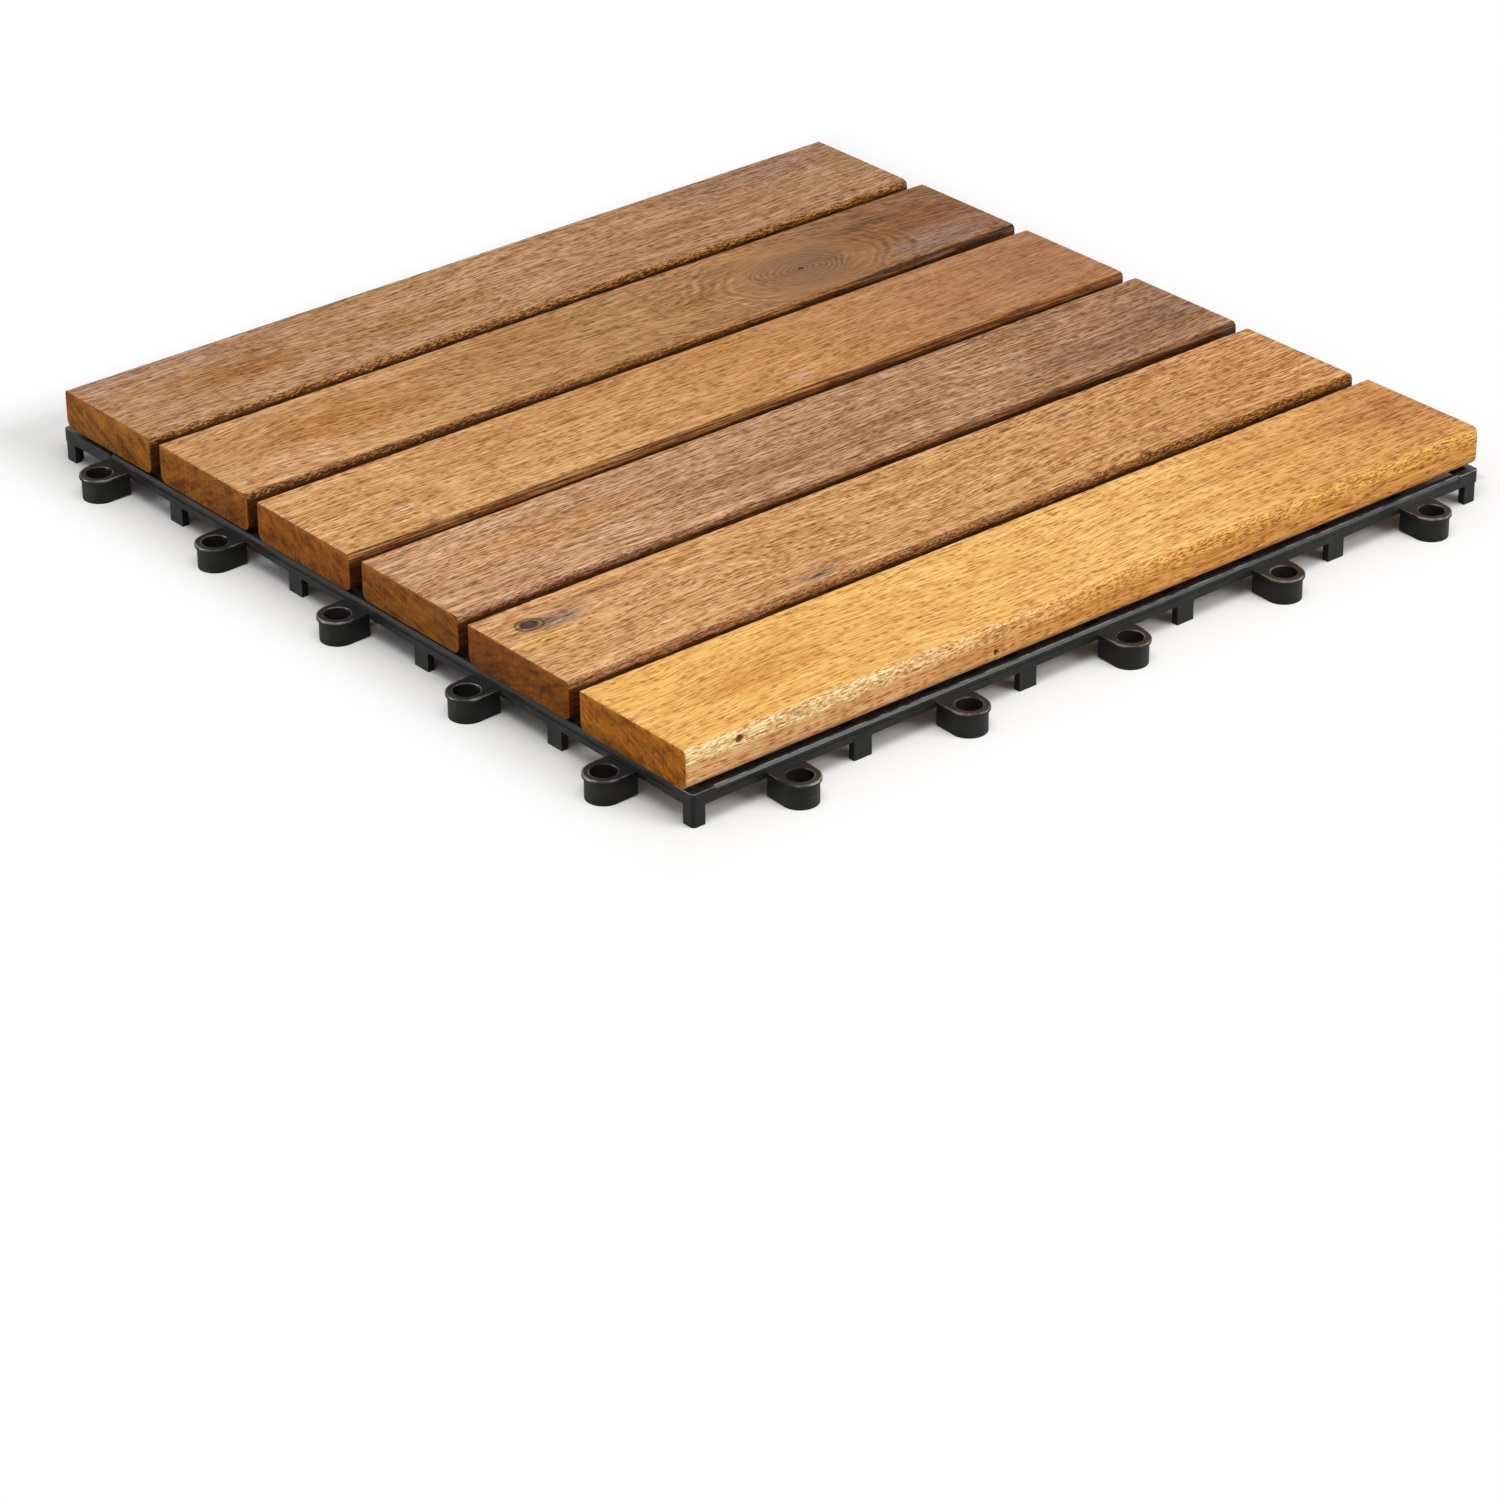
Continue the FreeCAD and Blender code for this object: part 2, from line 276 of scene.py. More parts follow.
class Effect:
    """A shader effect kept as a node group, built once and placed in each material that uses it."""

    name = "effect"
    inputs: Mapping[str, float | Sequence[float]] = {}
    outputs: Mapping[str, SocketKind] = {}

    def __init__(self) -> None:
        """Start with no group."""
        self.tree: bpy.types.NodeTree | None = None

    def draw(self, graph: Graph, given: Mapping[str, Socket]) -> Mapping[str, Socket]:
        """Add the effect's nodes and return its outputs by name."""
        raise NotImplementedError

    def build(self) -> bpy.types.NodeTree:
        """Make the group with its sockets and nodes.

        Returns:
            The node group.
        """
        tree = bpy.data.node_groups.new(self.name, "ShaderNodeTree")
        for name, default in self.inputs.items():
            kind = SocketKind.NUMBER if isinstance(default, float) else SocketKind.VECTOR
            socket = tree.interface.new_socket(name, in_out="INPUT", socket_type=kind.value)
            socket.default_value = default
        for name, kind in self.outputs.items():
            tree.interface.new_socket(name, in_out="OUTPUT", socket_type=kind.value)
        graph = Graph(tree)
        start = graph.add("NodeGroupInput")
        end = graph.add("NodeGroupOutput")
        made = self.draw(graph, {name: start.outputs[name] for name in self.inputs})
        for name, socket in made.items():
            graph.put(end.inputs[name], socket)
        return tree

    def place(self, graph: Graph, values: Mapping[str, Value]) -> Mapping[str, Socket]:
        """Put the effect in a material.

        Args:
            graph: The material's nodes.
            values: What the effect's inputs take.

        Returns:
            Its outputs by name.
        """
        if self.tree is None:
            self.tree = self.build()
        node = graph.add("ShaderNodeGroup", node_tree=self.tree)
        for name, value in values.items():
            graph.put(node.inputs[name], value)
        return {name: node.outputs[name] for name in self.outputs}


class GrainFlow(Effect):
    """Bends the across-the-grain measure, so that what follows it wanders as timber does."""

    name = "grain flow"
    inputs = {"Position": (0.0, 0.0, 0.0), "Wave": 3.0, "Ripple": 0.5, "Slope": 0.0, "Seed": 0.0}
    outputs = {"Flow": SocketKind.VECTOR}

    def draw(self, graph: Graph, given: Mapping[str, Socket]) -> Mapping[str, Socket]:
        """Shift the place sideways by long and short waves and a steady slope."""
        place, seed = given["Position"], given["Seed"]
        long_wave = graph.noise(graph.cells_of(place, (95.0, 42.0, 42.0), seed), 1.0)
        short_wave = graph.noise(graph.cells_of(place, (13.0, 5.0, 5.0), seed), 1.0)
        wave = graph.swing(long_wave, 2.0, given["Wave"])
        ripple = graph.swing(short_wave, 2.0, given["Ripple"])
        along, across, depth = graph.split(place)
        slope = graph.product(along, given["Slope"])
        bent = graph.total(across, wave, ripple, slope)
        deep = graph.total(depth, graph.product(wave, 0.5), ripple)
        return {"Flow": graph.join(along, bent, deep)}


class KnotFlow(Effect):
    """Parts the grain round a knot or an eye."""

    name = "knot flow"
    inputs = {"Flow": (0.0, 0.0, 0.0), "Position": (0.0, 0.0, 0.0), "Centre": (0.0, 0.0, 0.0),
              "Radius": 3.0, "Stretch": 1.3, "Ragged": 0.15}
    outputs = {"Flow": SocketKind.VECTOR, "Distance": SocketKind.NUMBER}

    def draw(self, graph: Graph, given: Mapping[str, Socket]) -> Mapping[str, Socket]:
        """Measure the distance in radii, and push the grain apart as a stream parts round a pier."""
        along, across, _ = graph.split(given["Position"])
        centre_along, centre_across, _ = graph.split(given["Centre"])
        gap_along = graph.calc("DIVIDE", graph.calc("SUBTRACT", along, centre_along), given["Stretch"])
        gap_across = graph.calc("SUBTRACT", across, centre_across)
        far = graph.calc("DIVIDE", graph.length(gap_along, gap_across), given["Radius"])
        rough = graph.noise(graph.cells_of(given["Position"], (16.0, 10.0, 10.0)), 1.0)
        uneven = graph.swing(rough, 2.0, given["Ragged"])
        distance = graph.total(far, graph.product(far, uneven))
        room = graph.calc("MAXIMUM", graph.product(distance, distance), 0.35)
        push = graph.calc("DIVIDE", gap_across, room)
        flow_along, flow_across, flow_depth = graph.split(given["Flow"])
        bent = graph.calc("SUBTRACT", flow_across, push)
        return {"Flow": graph.join(flow_along, bent, flow_depth), "Distance": distance}


class AcaciaFigure(Effect):
    """The fibres, growth bands, open pores and pale flecks of the timber."""

    name = "acacia figure"
    inputs = {"Flow": (0.0, 0.0, 0.0), "Seed": 0.0, "Pores": 0.3}
    outputs = {"Fibre": SocketKind.NUMBER, "Streak": SocketKind.NUMBER, "Band": SocketKind.NUMBER,
               "Pore": SocketKind.NUMBER, "Fleck": SocketKind.NUMBER, "Height": SocketKind.NUMBER}

    def draw(self, graph: Graph, given: Mapping[str, Socket]) -> Mapping[str, Socket]:
        """Stretch noise and specks along the flow."""
        flow, seed = given["Flow"], given["Seed"]
        fibre = graph.noise(graph.cells_of(flow, (8.5, 0.52, 0.52), seed), 2.0, 0.6)
        streak = graph.noise(graph.cells_of(flow, (28.0, 0.95, 0.95), seed), 3.0, 0.6)
        band = graph.noise(graph.cells_of(flow, (90.0, 7.0, 7.0), seed), 3.0)
        porous = graph.product(given["Pores"], graph.between(graph.soft(streak, 0.62, 0.38), 0.4, 1.6))
        short = graph.specks(graph.cells_of(flow, (3.2, 0.56, 0.56), seed), porous, 0.56)
        long_share = graph.product(porous, 0.7)
        long = graph.specks(graph.cells_of(flow, (7.0, 0.6, 0.6), seed), long_share, 0.5)
        pore = graph.calc("MAXIMUM", short, long)
        fleck = graph.specks(graph.cells_of(flow, (3.4, 0.6, 0.6), graph.total(seed, 7.3)), 0.4, 0.48)
        height = graph.calc("SUBTRACT", graph.product(fibre, 0.5), pore)
        return {"Fibre": fibre, "Streak": streak, "Band": band,
                "Pore": pore, "Fleck": fleck, "Height": height}


class SoftPatch(Effect):
    """An oval of changed tone with a ragged, fading rim."""

    name = "soft patch"
    inputs = {"Position": (0.0, 0.0, 0.0), "Flow": (0.0, 0.0, 0.0), "Centre": (0.0, 0.0, 0.0),
              "Reach": (20.0, 6.0, 0.0), "Ragged": 0.5}
    outputs = {"Mask": SocketKind.NUMBER}

    def draw(self, graph: Graph, given: Mapping[str, Socket]) -> Mapping[str, Socket]:
        """Fade with the distance in reaches, which noise along the grain makes uneven."""
        gap = graph.vector("SUBTRACT", given["Position"], given["Centre"])
        along, across, _ = graph.split(graph.vector("DIVIDE", gap, given["Reach"]))
        far = graph.length(along, across)
        rough = graph.noise(graph.cells_of(given["Flow"], (16.0, 1.8, 1.8)), 3.0)
        uneven = graph.swing(rough, 2.0, given["Ragged"])
        streaks = graph.noise(graph.cells_of(given["Flow"], (9.0, 1.1, 1.1), 4.0), 3.0, 0.65)
        broken = graph.between(graph.soft(streaks, 0.38, 0.6), 0.45, 1.1)
        return {"Mask": graph.product(graph.soft(graph.total(far, uneven), 1.2, 0.1), broken)}


class ArchLines(Effect):
    """Nested arches of growth lines, closed at one end as a flat-sawn board shows them."""

    name = "arch lines"
    inputs = {"Flow": (0.0, 0.0, 0.0), "Apex": (0.0, 0.0, 0.0), "Reach": (40.0, 9.0, 0.0), "Pitch": 4.5}
    outputs = {"Line": SocketKind.NUMBER}

    def draw(self, graph: Graph, given: Mapping[str, Socket]) -> Mapping[str, Socket]:
        """Bend lines across the grain into parabolas, which fade away from the apex."""
        along, across, _ = graph.split(graph.vector("SUBTRACT", given["Flow"], given["Apex"]))
        reach_along, reach_across, _ = graph.split(given["Reach"])
        wide = graph.calc("DIVIDE", across, reach_across)
        square = graph.product(wide, wide)
        bent = graph.total(along, graph.product(square, reach_along, 0.5))
        lines = graph.calc("SINE", graph.product(graph.calc("DIVIDE", bent, given["Pitch"]), math.tau))
        inside = graph.product(graph.soft(bent, 3.0, -3.0), graph.soft(square, 1.6, 0.5))
        far = graph.calc("DIVIDE", graph.calc("ABSOLUTE", along), reach_along)
        return {"Line": graph.product(graph.soft(lines, 0.0, 1.0), inside, graph.soft(far, 1.1, 0.5))}


class TornArris(Effect):
    """The rounded front arris: pale lifted fibres and dark pits, whose darkness is partly painted shade, or
    stripes where the cut ran clean.
    """

    name = "torn arris"
    inputs = {"Position": (0.0, 0.0, 0.0), "Torn": 1.0, "Reach": 2.2, "Seed": 0.0}
    outputs = {"Band": SocketKind.NUMBER, "Low": SocketKind.NUMBER, "Below": SocketKind.NUMBER,
               "Pale": SocketKind.NUMBER, "Dark": SocketKind.NUMBER, "Height": SocketKind.NUMBER}

    def draw(self, graph: Graph, given: Mapping[str, Socket]) -> Mapping[str, Socket]:
        """Measure round the arris, and fill the band with specks or stripes."""
        along, across, depth = graph.split(given["Position"])
        seed, torn = given["Seed"], given["Torn"]
        down = graph.calc("SUBTRACT", across, depth)
        place = graph.join(graph.total(along, down), down, graph.product(depth, 0.2))
        rough = graph.noise(graph.cells_of(place, (3.2, 0.9, 1.0), seed), 3.0, 0.65)
        edge = graph.total(down, graph.swing(rough, 3.4, torn))
        band = graph.soft(edge, -1.35, -0.65)
        over = graph.calc("SUBTRACT", edge, given["Reach"])
        below = graph.soft(over, -0.45, 0.35)
        pale = graph.specks(graph.cells_of(place, (1.8, 0.52, 1.0), seed), 0.6, 0.64)
        dark = graph.specks(graph.cells_of(place, (1.7, 0.52, 1.0), graph.total(seed, 3.1)), 0.8, 0.72)
        dark = graph.product(dark, graph.flip(pale))
        stripes = graph.noise(graph.cells_of(graph.join(along, down, 0.0), (26.0, 0.75, 1.0), seed), 2.0, 0.6)
        stripe_dark = graph.soft(stripes, 0.5, 0.4)
        stripe_pale = graph.soft(stripes, 0.53, 0.62)
        inside = graph.product(band, graph.flip(below))
        dark = graph.product(graph.between(torn, stripe_dark, dark), inside)
        pale = graph.product(graph.between(torn, stripe_pale, pale), inside)
        height = graph.product(inside, torn, graph.total(graph.calc("SUBTRACT", pale, dark), rough))
        # Rises as the arris rounds down towards the gap; the arris_low tint that it carries is partly painted
        # shade.
        low = graph.soft(down, -0.4, 1.3)
        return {"Band": band, "Low": low, "Below": below, "Pale": pale, "Dark": dark, "Height": height}


class SawnEnd(Effect):
    """The sawn end grain: growth lines on the slant, open pores and the saw's faint marks."""

    name = "sawn end"
    inputs = {"Position": (0.0, 0.0, 0.0), "Slant": 0.5, "Seed": 0.0}
    outputs = {"Tone": SocketKind.NUMBER, "Pore": SocketKind.NUMBER, "Height": SocketKind.NUMBER}

    def draw(self, graph: Graph, given: Mapping[str, Socket]) -> Mapping[str, Socket]:
        """Slant soft lines across the end, with noise over them."""
        _, across, depth = graph.split(given["Position"])
        seed = given["Seed"]
        place = graph.join(across, depth, 0.0)
        bend = graph.product(graph.noise(graph.cells_of(place, (18.0, 9.0, 1.0), seed), 1.0), 7.0)
        slant = graph.total(graph.product(across, given["Slant"]), depth, bend)
        rise = graph.calc("SUBTRACT", across, graph.product(depth, given["Slant"]))
        lines = graph.noise(graph.cells_of(graph.join(slant, rise, 0.0), (1.3, 12.0, 1.0), seed), 3.0)
        cloud = graph.noise(graph.cells_of(place, (6.0, 3.5, 1.0), seed), 4.0, 0.65)
        pore = graph.specks(graph.cells_of(place, (0.62, 0.62, 1.0), seed), 0.5, 0.5)
        saw = graph.noise(graph.cells_of(place, (0.45, 10.0, 1.0), seed), 2.0)
        height = graph.calc("SUBTRACT", graph.product(saw, 0.5), pore)
        tone = graph.total(graph.product(lines, 0.38), graph.product(cloud, 0.44), graph.product(saw, 0.18))
        return {"Tone": tone, "Pore": pore, "Height": height}


class HandlingWear(Effect):
    """What handling leaves on moulded plastic and on metal: rubbed edges, light scuffs and a film of dust."""

    name = "handling wear"
    inputs = {"Position": (0.0, 0.0, 0.0), "Edge": 0.0, "Scale": 1.0, "Seed": 0.0}
    outputs = {"Rub": SocketKind.NUMBER, "Scuff": SocketKind.NUMBER, "Dust": SocketKind.NUMBER,
               "Height": SocketKind.NUMBER}

    def draw(self, graph: Graph, given: Mapping[str, Socket]) -> Mapping[str, Socket]:
        """Break the edge mask up, draw fine crossing scratches, and cloud the rest."""
        size = graph.join(given["Scale"], given["Scale"], given["Scale"])
        place = graph.vector("MULTIPLY", given["Position"], size)
        seed = given["Seed"]
        patchy = graph.noise(graph.cells_of(place, (6.0, 6.0, 3.0), seed), 3.0)
        rub = graph.product(given["Edge"], graph.soft(patchy, 0.38, 0.62))
        fine = graph.noise(graph.cells_of(place, (0.5, 0.5, 0.35), seed), 2.0)
        long_marks = graph.noise(graph.cells_of(place, (9.0, 0.4, 0.4), seed), 2.0, 0.7)
        cross_marks = graph.noise(graph.cells_of(place, (0.4, 9.0, 0.4), seed), 2.0, 0.7)
        marks = graph.calc("MAXIMUM", long_marks, cross_marks)
        scuff = graph.product(graph.soft(marks, 0.64, 0.74), graph.soft(patchy, 0.45, 0.6))
        dust = graph.product(graph.soft(patchy, 0.42, 0.7), graph.soft(fine, 0.4, 0.7))
        height = graph.calc("SUBTRACT", graph.product(fine, 0.6), scuff)
        return {"Rub": rub, "Scuff": scuff, "Dust": dust, "Height": height}


GRAIN_FLOW = GrainFlow()
KNOT_FLOW = KnotFlow()
ACACIA_FIGURE = AcaciaFigure()
SOFT_PATCH = SoftPatch()
ARCH_LINES = ArchLines()
TORN_ARRIS = TornArris()
SAWN_END = SawnEnd()
HANDLING_WEAR = HandlingWear()


def new_material(name: str) -> tuple[Material, Graph, Node]:
    """Make a material.

    Args:
        name: What it is called.

    Returns:
        The material, its nodes and its shader.
    """
    material = bpy.data.materials.new(name)
    material.use_nodes = True
    graph = Graph(material.node_tree)
    graph.tree.nodes.clear()
    shader = graph.add("ShaderNodeBsdfPrincipled")
    output = graph.add("ShaderNodeOutputMaterial")
    graph.put(output.inputs["Surface"], shader.outputs["BSDF"])
    return material, graph, shader


def millimetres(graph: Graph, start: Vector = Vector()) -> Socket:
    """Where a point of the piece is, in millimetres from a start.

    Args:
        graph: The material's nodes.
        start: The place that counts as zero, in metres.

    Returns:
        The place, along X, back to front and up.
    """
    scale = (1 / MM, -1 / MM, 1 / MM)
    location = (-start.x / MM, start.y / MM, -start.z / MM)
    source = graph.add("ShaderNodeTexCoord").outputs["Object"]
    values = {"Vector": source, "Location": location, "Scale": scale}
    return graph.add("ShaderNodeMapping", values, vector_type="POINT").outputs["Vector"]


@dataclass(frozen=True)
class Patch:
    """A place on a board where the tone changes."""

    centre: tuple[float, float]
    reach: tuple[float, float]
    colour: str
    strength: float = 1.0
    ragged: float = 0.5


@dataclass(frozen=True)
class Knot:
    """A knot, or an eye of curled grain."""

    centre: tuple[float, float]
    radius: float
    kind: KnotKind = KnotKind.KNOT
    stretch: float = 1.3
    core: str = "6E6259"
    ring: str = "70482E"
    ragged: float = 0.15
    strength: float = 1.0


@dataclass(frozen=True)
class Arch:
    """Where a board's growth lines close in arches."""

    apex: tuple[float, float]
    reach: tuple[float, float]
    pitch: float = 4.5
    strength: float = 0.4


@dataclass(frozen=True)
class Run:
    """A colour at a board's near end, middle and far end; the change along the board is partly the wood's own
    and partly painted light and shade, lighter near and darker far.
    """

    near: str
    middle: str
    far: str

    def shade(self, graph: Graph, share: Socket) -> Socket:
        """The colour where the share of the length is as given."""
        codes = [paint(code) for code in (self.near, self.middle, self.far)]
        first = graph.blend(graph.soft(share, 0.1, 0.55), codes[0], codes[1])
        return graph.blend(graph.soft(share, 0.5, 0.95), first, codes[2])


@dataclass(frozen=True)
class AcaciaFinish:
    """The look of one board."""

    top: Run
    arris: Run
    seed: float
    # The side below the arris band. On the inner boards its dark brown is partly painted shade of the narrow
    # gap between boards.
    side_and_gap_shade: Run = Run("542E0E", "4A2A0A", "462608")
    # Tint on the arris as it rounds down towards the gap; where it darkens, it is partly painted shade.
    arris_low: Tint = (0.64, 0.53, 0.34)
    arris_reach: float = 2.0
    wave: float = 3.0
    ripple: float = 0.5
    slope: float = 0.0
    contrast: float = 1.0
    grain_run: tuple[float, float] = (1.0, 1.0)
    pores: float = 0.3
    pore: Tint = (0.4, 0.27, 0.15)
    torn: tuple[float, float] = (1.0, 1.0)
    torn_pale: Run = Run("D9AE78", "D2A468", "CC9A5C")
    torn_dark: str = "4A2A10"
    lift: float = 0.22
    end: str = "A06C2C"
    end_slant: float = 0.5
    knots: tuple[Knot, ...] = ()
    arches: tuple[Arch, ...] = ()
    patches: tuple[Patch, ...] = ()
    dark_grain: Tint = (0.62, 0.49, 0.32)
    pale_grain: Tint = (1.34, 1.52, 1.88)

    def dress(self, name: str, low: Vector, high: Vector) -> Material:
        """Make the board's material.

        Args:
            name: What it is called.
            low: The board's lowest corner, in metres.
            high: Its highest corner.

        Returns:
            The material.
        """
        material, graph, shader = new_material(name)
        place = millimetres(graph, Vector((low.x, high.y, high.z)))
        front = millimetres(graph, Vector((low.x, low.y, high.z)))
        share = graph.product(graph.split(place)[0], MM / (high.x - low.x))
        flow = GRAIN_FLOW.place(graph, {"Position": place, "Wave": self.wave, "Ripple": self.ripple,
                                        "Slope": self.slope, "Seed": self.seed})["Flow"]
        rings = []
        for knot in self.knots:
            parted = KNOT_FLOW.place(graph, {"Flow": flow, "Position": place, "Centre": (*knot.centre, 0.0),
                                             "Radius": knot.radius, "Stretch": knot.stretch,
                                             "Ragged": knot.ragged})
            flow = parted["Flow"]
            rings.append((knot, parted["Distance"]))
        figure = ACACIA_FIGURE.place(graph, {"Flow": flow, "Seed": self.seed, "Pores": self.pores})
        torn = TORN_ARRIS.place(graph, {"Position": front, "Torn": graph.between(share, *self.torn),
                                        "Reach": self.arris_reach, "Seed": self.seed})
        colour = self.tone(graph, place, share)
        for patch in self.patches:
            mask = SOFT_PATCH.place(graph, {"Position": place, "Flow": flow, "Centre": (*patch.centre, 0.0),
                                            "Reach": (*patch.reach, 1.0), "Ragged": patch.ragged})["Mask"]
            tone = ratio(patch.colour, self.top.middle)
            colour = graph.tint(colour, graph.product(mask, patch.strength), tone)
        for arch in self.arches:
            line = ARCH_LINES.place(graph, {"Flow": flow, "Apex": (*arch.apex, 0.0),
                                            "Reach": (*arch.reach, 1.0), "Pitch": arch.pitch})["Line"]
            colour = graph.tint(colour, graph.product(line, arch.strength), self.dark_grain)
        for knot, distance in rings:
            colour = self.knot_rings(graph, colour, place, knot, distance)
        # The lower arris takes the arris_low tint, partly painted shade where the round turns into the gap.
        arris = graph.tint(self.arris.shade(graph, share), torn["Low"], self.arris_low)
        colour = graph.blend(torn["Band"], colour, arris)
        # The side below the band takes its colour, which on the inner boards is partly painted shade of the
        # gap.
        colour = graph.blend(torn["Below"], colour, self.side_and_gap_shade.shade(graph, share))
        colour = self.grain(graph, colour, figure, self.lively(graph, share, rings))
        colour = graph.blend(graph.product(torn["Pale"], 0.85), colour, self.torn_pale.shade(graph, share))
        # Dark specks on the torn arris, sunk by the bump; their darkness is partly painted shade in small
        # pits.
        colour = graph.blend(graph.product(torn["Dark"], 0.9), colour, paint(self.torn_dark))
        # Painted shade in the break-out pits: the broken mask darkens their deepest points to a fifth.
        colour = graph.tint(colour, graph.attribute("broken"), (0.2, 0.15, 0.12))
        end = SAWN_END.place(graph, {"Position": place, "Slant": self.end_slant, "Seed": self.seed})
        facing = graph.split(graph.add("ShaderNodeTexCoord").outputs["Normal"])[0]
        on_end = graph.soft(graph.calc("ABSOLUTE", facing), 0.75, 0.9)
        colour = graph.blend(on_end, colour, self.end_colour(graph, end))
        graph.put(shader.inputs["Base Color"], colour)
        self.surface(graph, shader, figure, torn, end, on_end)
        return material

    def tone(self, graph: Graph, place: Socket, share: Socket) -> Socket:
        """The colour of the top, which drifts on its way from the near end to the far one; its darkening
        towards the far end is partly painted shade.
        """
        drift = graph.noise(graph.cells_of(place, (60.0, 16.0, 16.0), self.seed + 5.0), 2.0)
        return self.top.shade(graph, graph.total(share, graph.swing(drift, 0.5)))

    def lively(self, graph: Graph, share: Socket, rings: Sequence[tuple[Knot, Socket]]) -> Value:
        """How strongly the grain shows, which changes along the board and is little near an eye."""
        strength: Value = graph.between(share, *self.grain_run)
        for knot, distance in rings:
            if knot.kind is KnotKind.EYE:
                calm = graph.product(graph.soft(distance, 2.6, 1.1), 0.6, knot.strength)
                strength = graph.product(strength, graph.flip(calm))
        return strength

    def grain(self, graph: Graph, colour: Socket, figure: Mapping[str, Socket], lively: Value) -> Socket:
        """Darken and lighten a colour along the grain.

        Args:
            graph: The material's nodes.
            colour: The colour without its grain.
            figure: The masks of the timber's figure.
            lively: How strongly the grain shows.

        Returns:
            The colour with its grain.
        """
        for name, spread, strength in (("Fibre", 0.11, 0.72), ("Streak", 0.14, 0.36), ("Band", 0.16, 0.16)):
            reach = spread / self.contrast
            dark = graph.soft(figure[name], 0.5, 0.5 - reach)
            pale = graph.soft(figure[name], 0.5, 0.5 + reach)
            colour = graph.tint(colour, graph.product(dark, strength, lively), self.dark_grain)
            colour = graph.tint(colour, graph.product(pale, strength, lively), self.pale_grain)
        colour = graph.tint(colour, graph.product(figure["Fleck"], 0.4, lively), self.pale_grain)
        return graph.tint(colour, graph.product(figure["Pore"], lively), self.pore)

    def knot_rings(self, graph: Graph, colour: Socket, place: Socket, knot: Knot, distance: Socket) -> Socket:
        """Colour a knot's core and rings, or an eye's rings and the arcs round it."""
        core = paint(knot.core)
        ring = ratio(knot.ring, self.top.middle)
        if knot.kind is KnotKind.KNOT:
            colour = graph.tint(colour, graph.product(graph.soft(distance, 3.4, 1.2), 0.45), ring)
            thin = graph.calc("ABSOLUTE", graph.calc("SUBTRACT", distance, 2.0))
            colour = graph.tint(colour, graph.product(graph.soft(thin, 0.3, 0.05), 0.8), ring)
            colour = graph.tint(colour, graph.soft(distance, 1.55, 1.2), ring)
            return graph.blend(graph.soft(distance, 1.15, 0.8), colour, core)
        along = graph.split(place)[0]
        wobble = graph.noise(graph.cells_of(place, (12.0, 8.0, 8.0), self.seed), 1.0)
        wavy = graph.total(distance, graph.product(wobble, 0.25))
        patchy = graph.soft(graph.noise(graph.cells_of(place, (8.0, 8.0, 8.0), self.seed), 2.0), 0.4, 0.58)
        colour = graph.tint(colour, graph.product(graph.soft(distance, 1.5, 0.6), knot.strength, 0.6), ring)
        close = graph.calc("SINE", graph.product(wavy, 52.0))
        inside = graph.product(graph.soft(distance, 1.25, 0.9), knot.strength)
        colour = graph.tint(colour, graph.product(graph.soft(close, -0.1, 0.9), inside, 0.6), ring)
        between = graph.product(graph.soft(close, -0.4, -1.0), inside, 0.4)
        colour = graph.tint(colour, between, self.pale_grain)
        wide = graph.calc("SINE", graph.product(wavy, 27.0))
        aside = graph.calc("SUBTRACT", along, knot.centre[0])
        aside = graph.calc("DIVIDE", aside, knot.radius * knot.stretch)
        beside = graph.soft(graph.calc("ABSOLUTE", aside), 0.7, 1.3)
        zone = graph.product(graph.soft(distance, 1.2, 1.5), graph.soft(distance, 2.8, 1.9), beside, patchy)
        zone = graph.product(zone, knot.strength)
        colour = graph.tint(colour, graph.product(graph.soft(wide, 0.1, 1.0), zone, 0.8), ring)
        colour = graph.tint(colour, graph.product(graph.soft(wide, -0.3, -1.0), zone, 0.5), (1.5, 1.5, 1.45))
        return graph.blend(graph.product(graph.soft(distance, 0.09, 0.05), knot.strength), colour, core)

    def end_colour(self, graph: Graph, end: Mapping[str, Socket]) -> Socket:
        """The colour of the sawn end."""
        base = paint(self.end)
        colour = graph.tint(base, graph.soft(end["Tone"], 0.52, 0.4), (0.5, 0.44, 0.32))
        colour = graph.tint(colour, graph.soft(end["Tone"], 0.5, 0.62), (1.4, 1.42, 1.4))
        return graph.tint(colour, graph.product(end["Pore"], 0.7), (0.5, 0.42, 0.34))

    def surface(self, graph: Graph, shader: Node, figure: Mapping[str, Socket],
                torn: Mapping[str, Socket], end: Mapping[str, Socket], on_end: Socket) -> None:
        """Set how rough the board is and how its surface rises and falls."""
        rough = graph.total(0.5, graph.product(figure["Streak"], 0.12), graph.product(torn["Dark"], 0.25))
        rough = graph.total(rough, graph.product(on_end, 0.2))
        graph.put(shader.inputs["Roughness"], rough)
        shader.inputs["Specular IOR Level"].default_value = 0.1
        face = graph.total(graph.product(figure["Height"], 0.035), graph.product(torn["Height"], self.lift))
        sawn = graph.product(end["Height"], 0.08)
        height = graph.total(graph.product(face, graph.flip(on_end)), graph.product(sawn, on_end))
        graph.bump(shader, height)


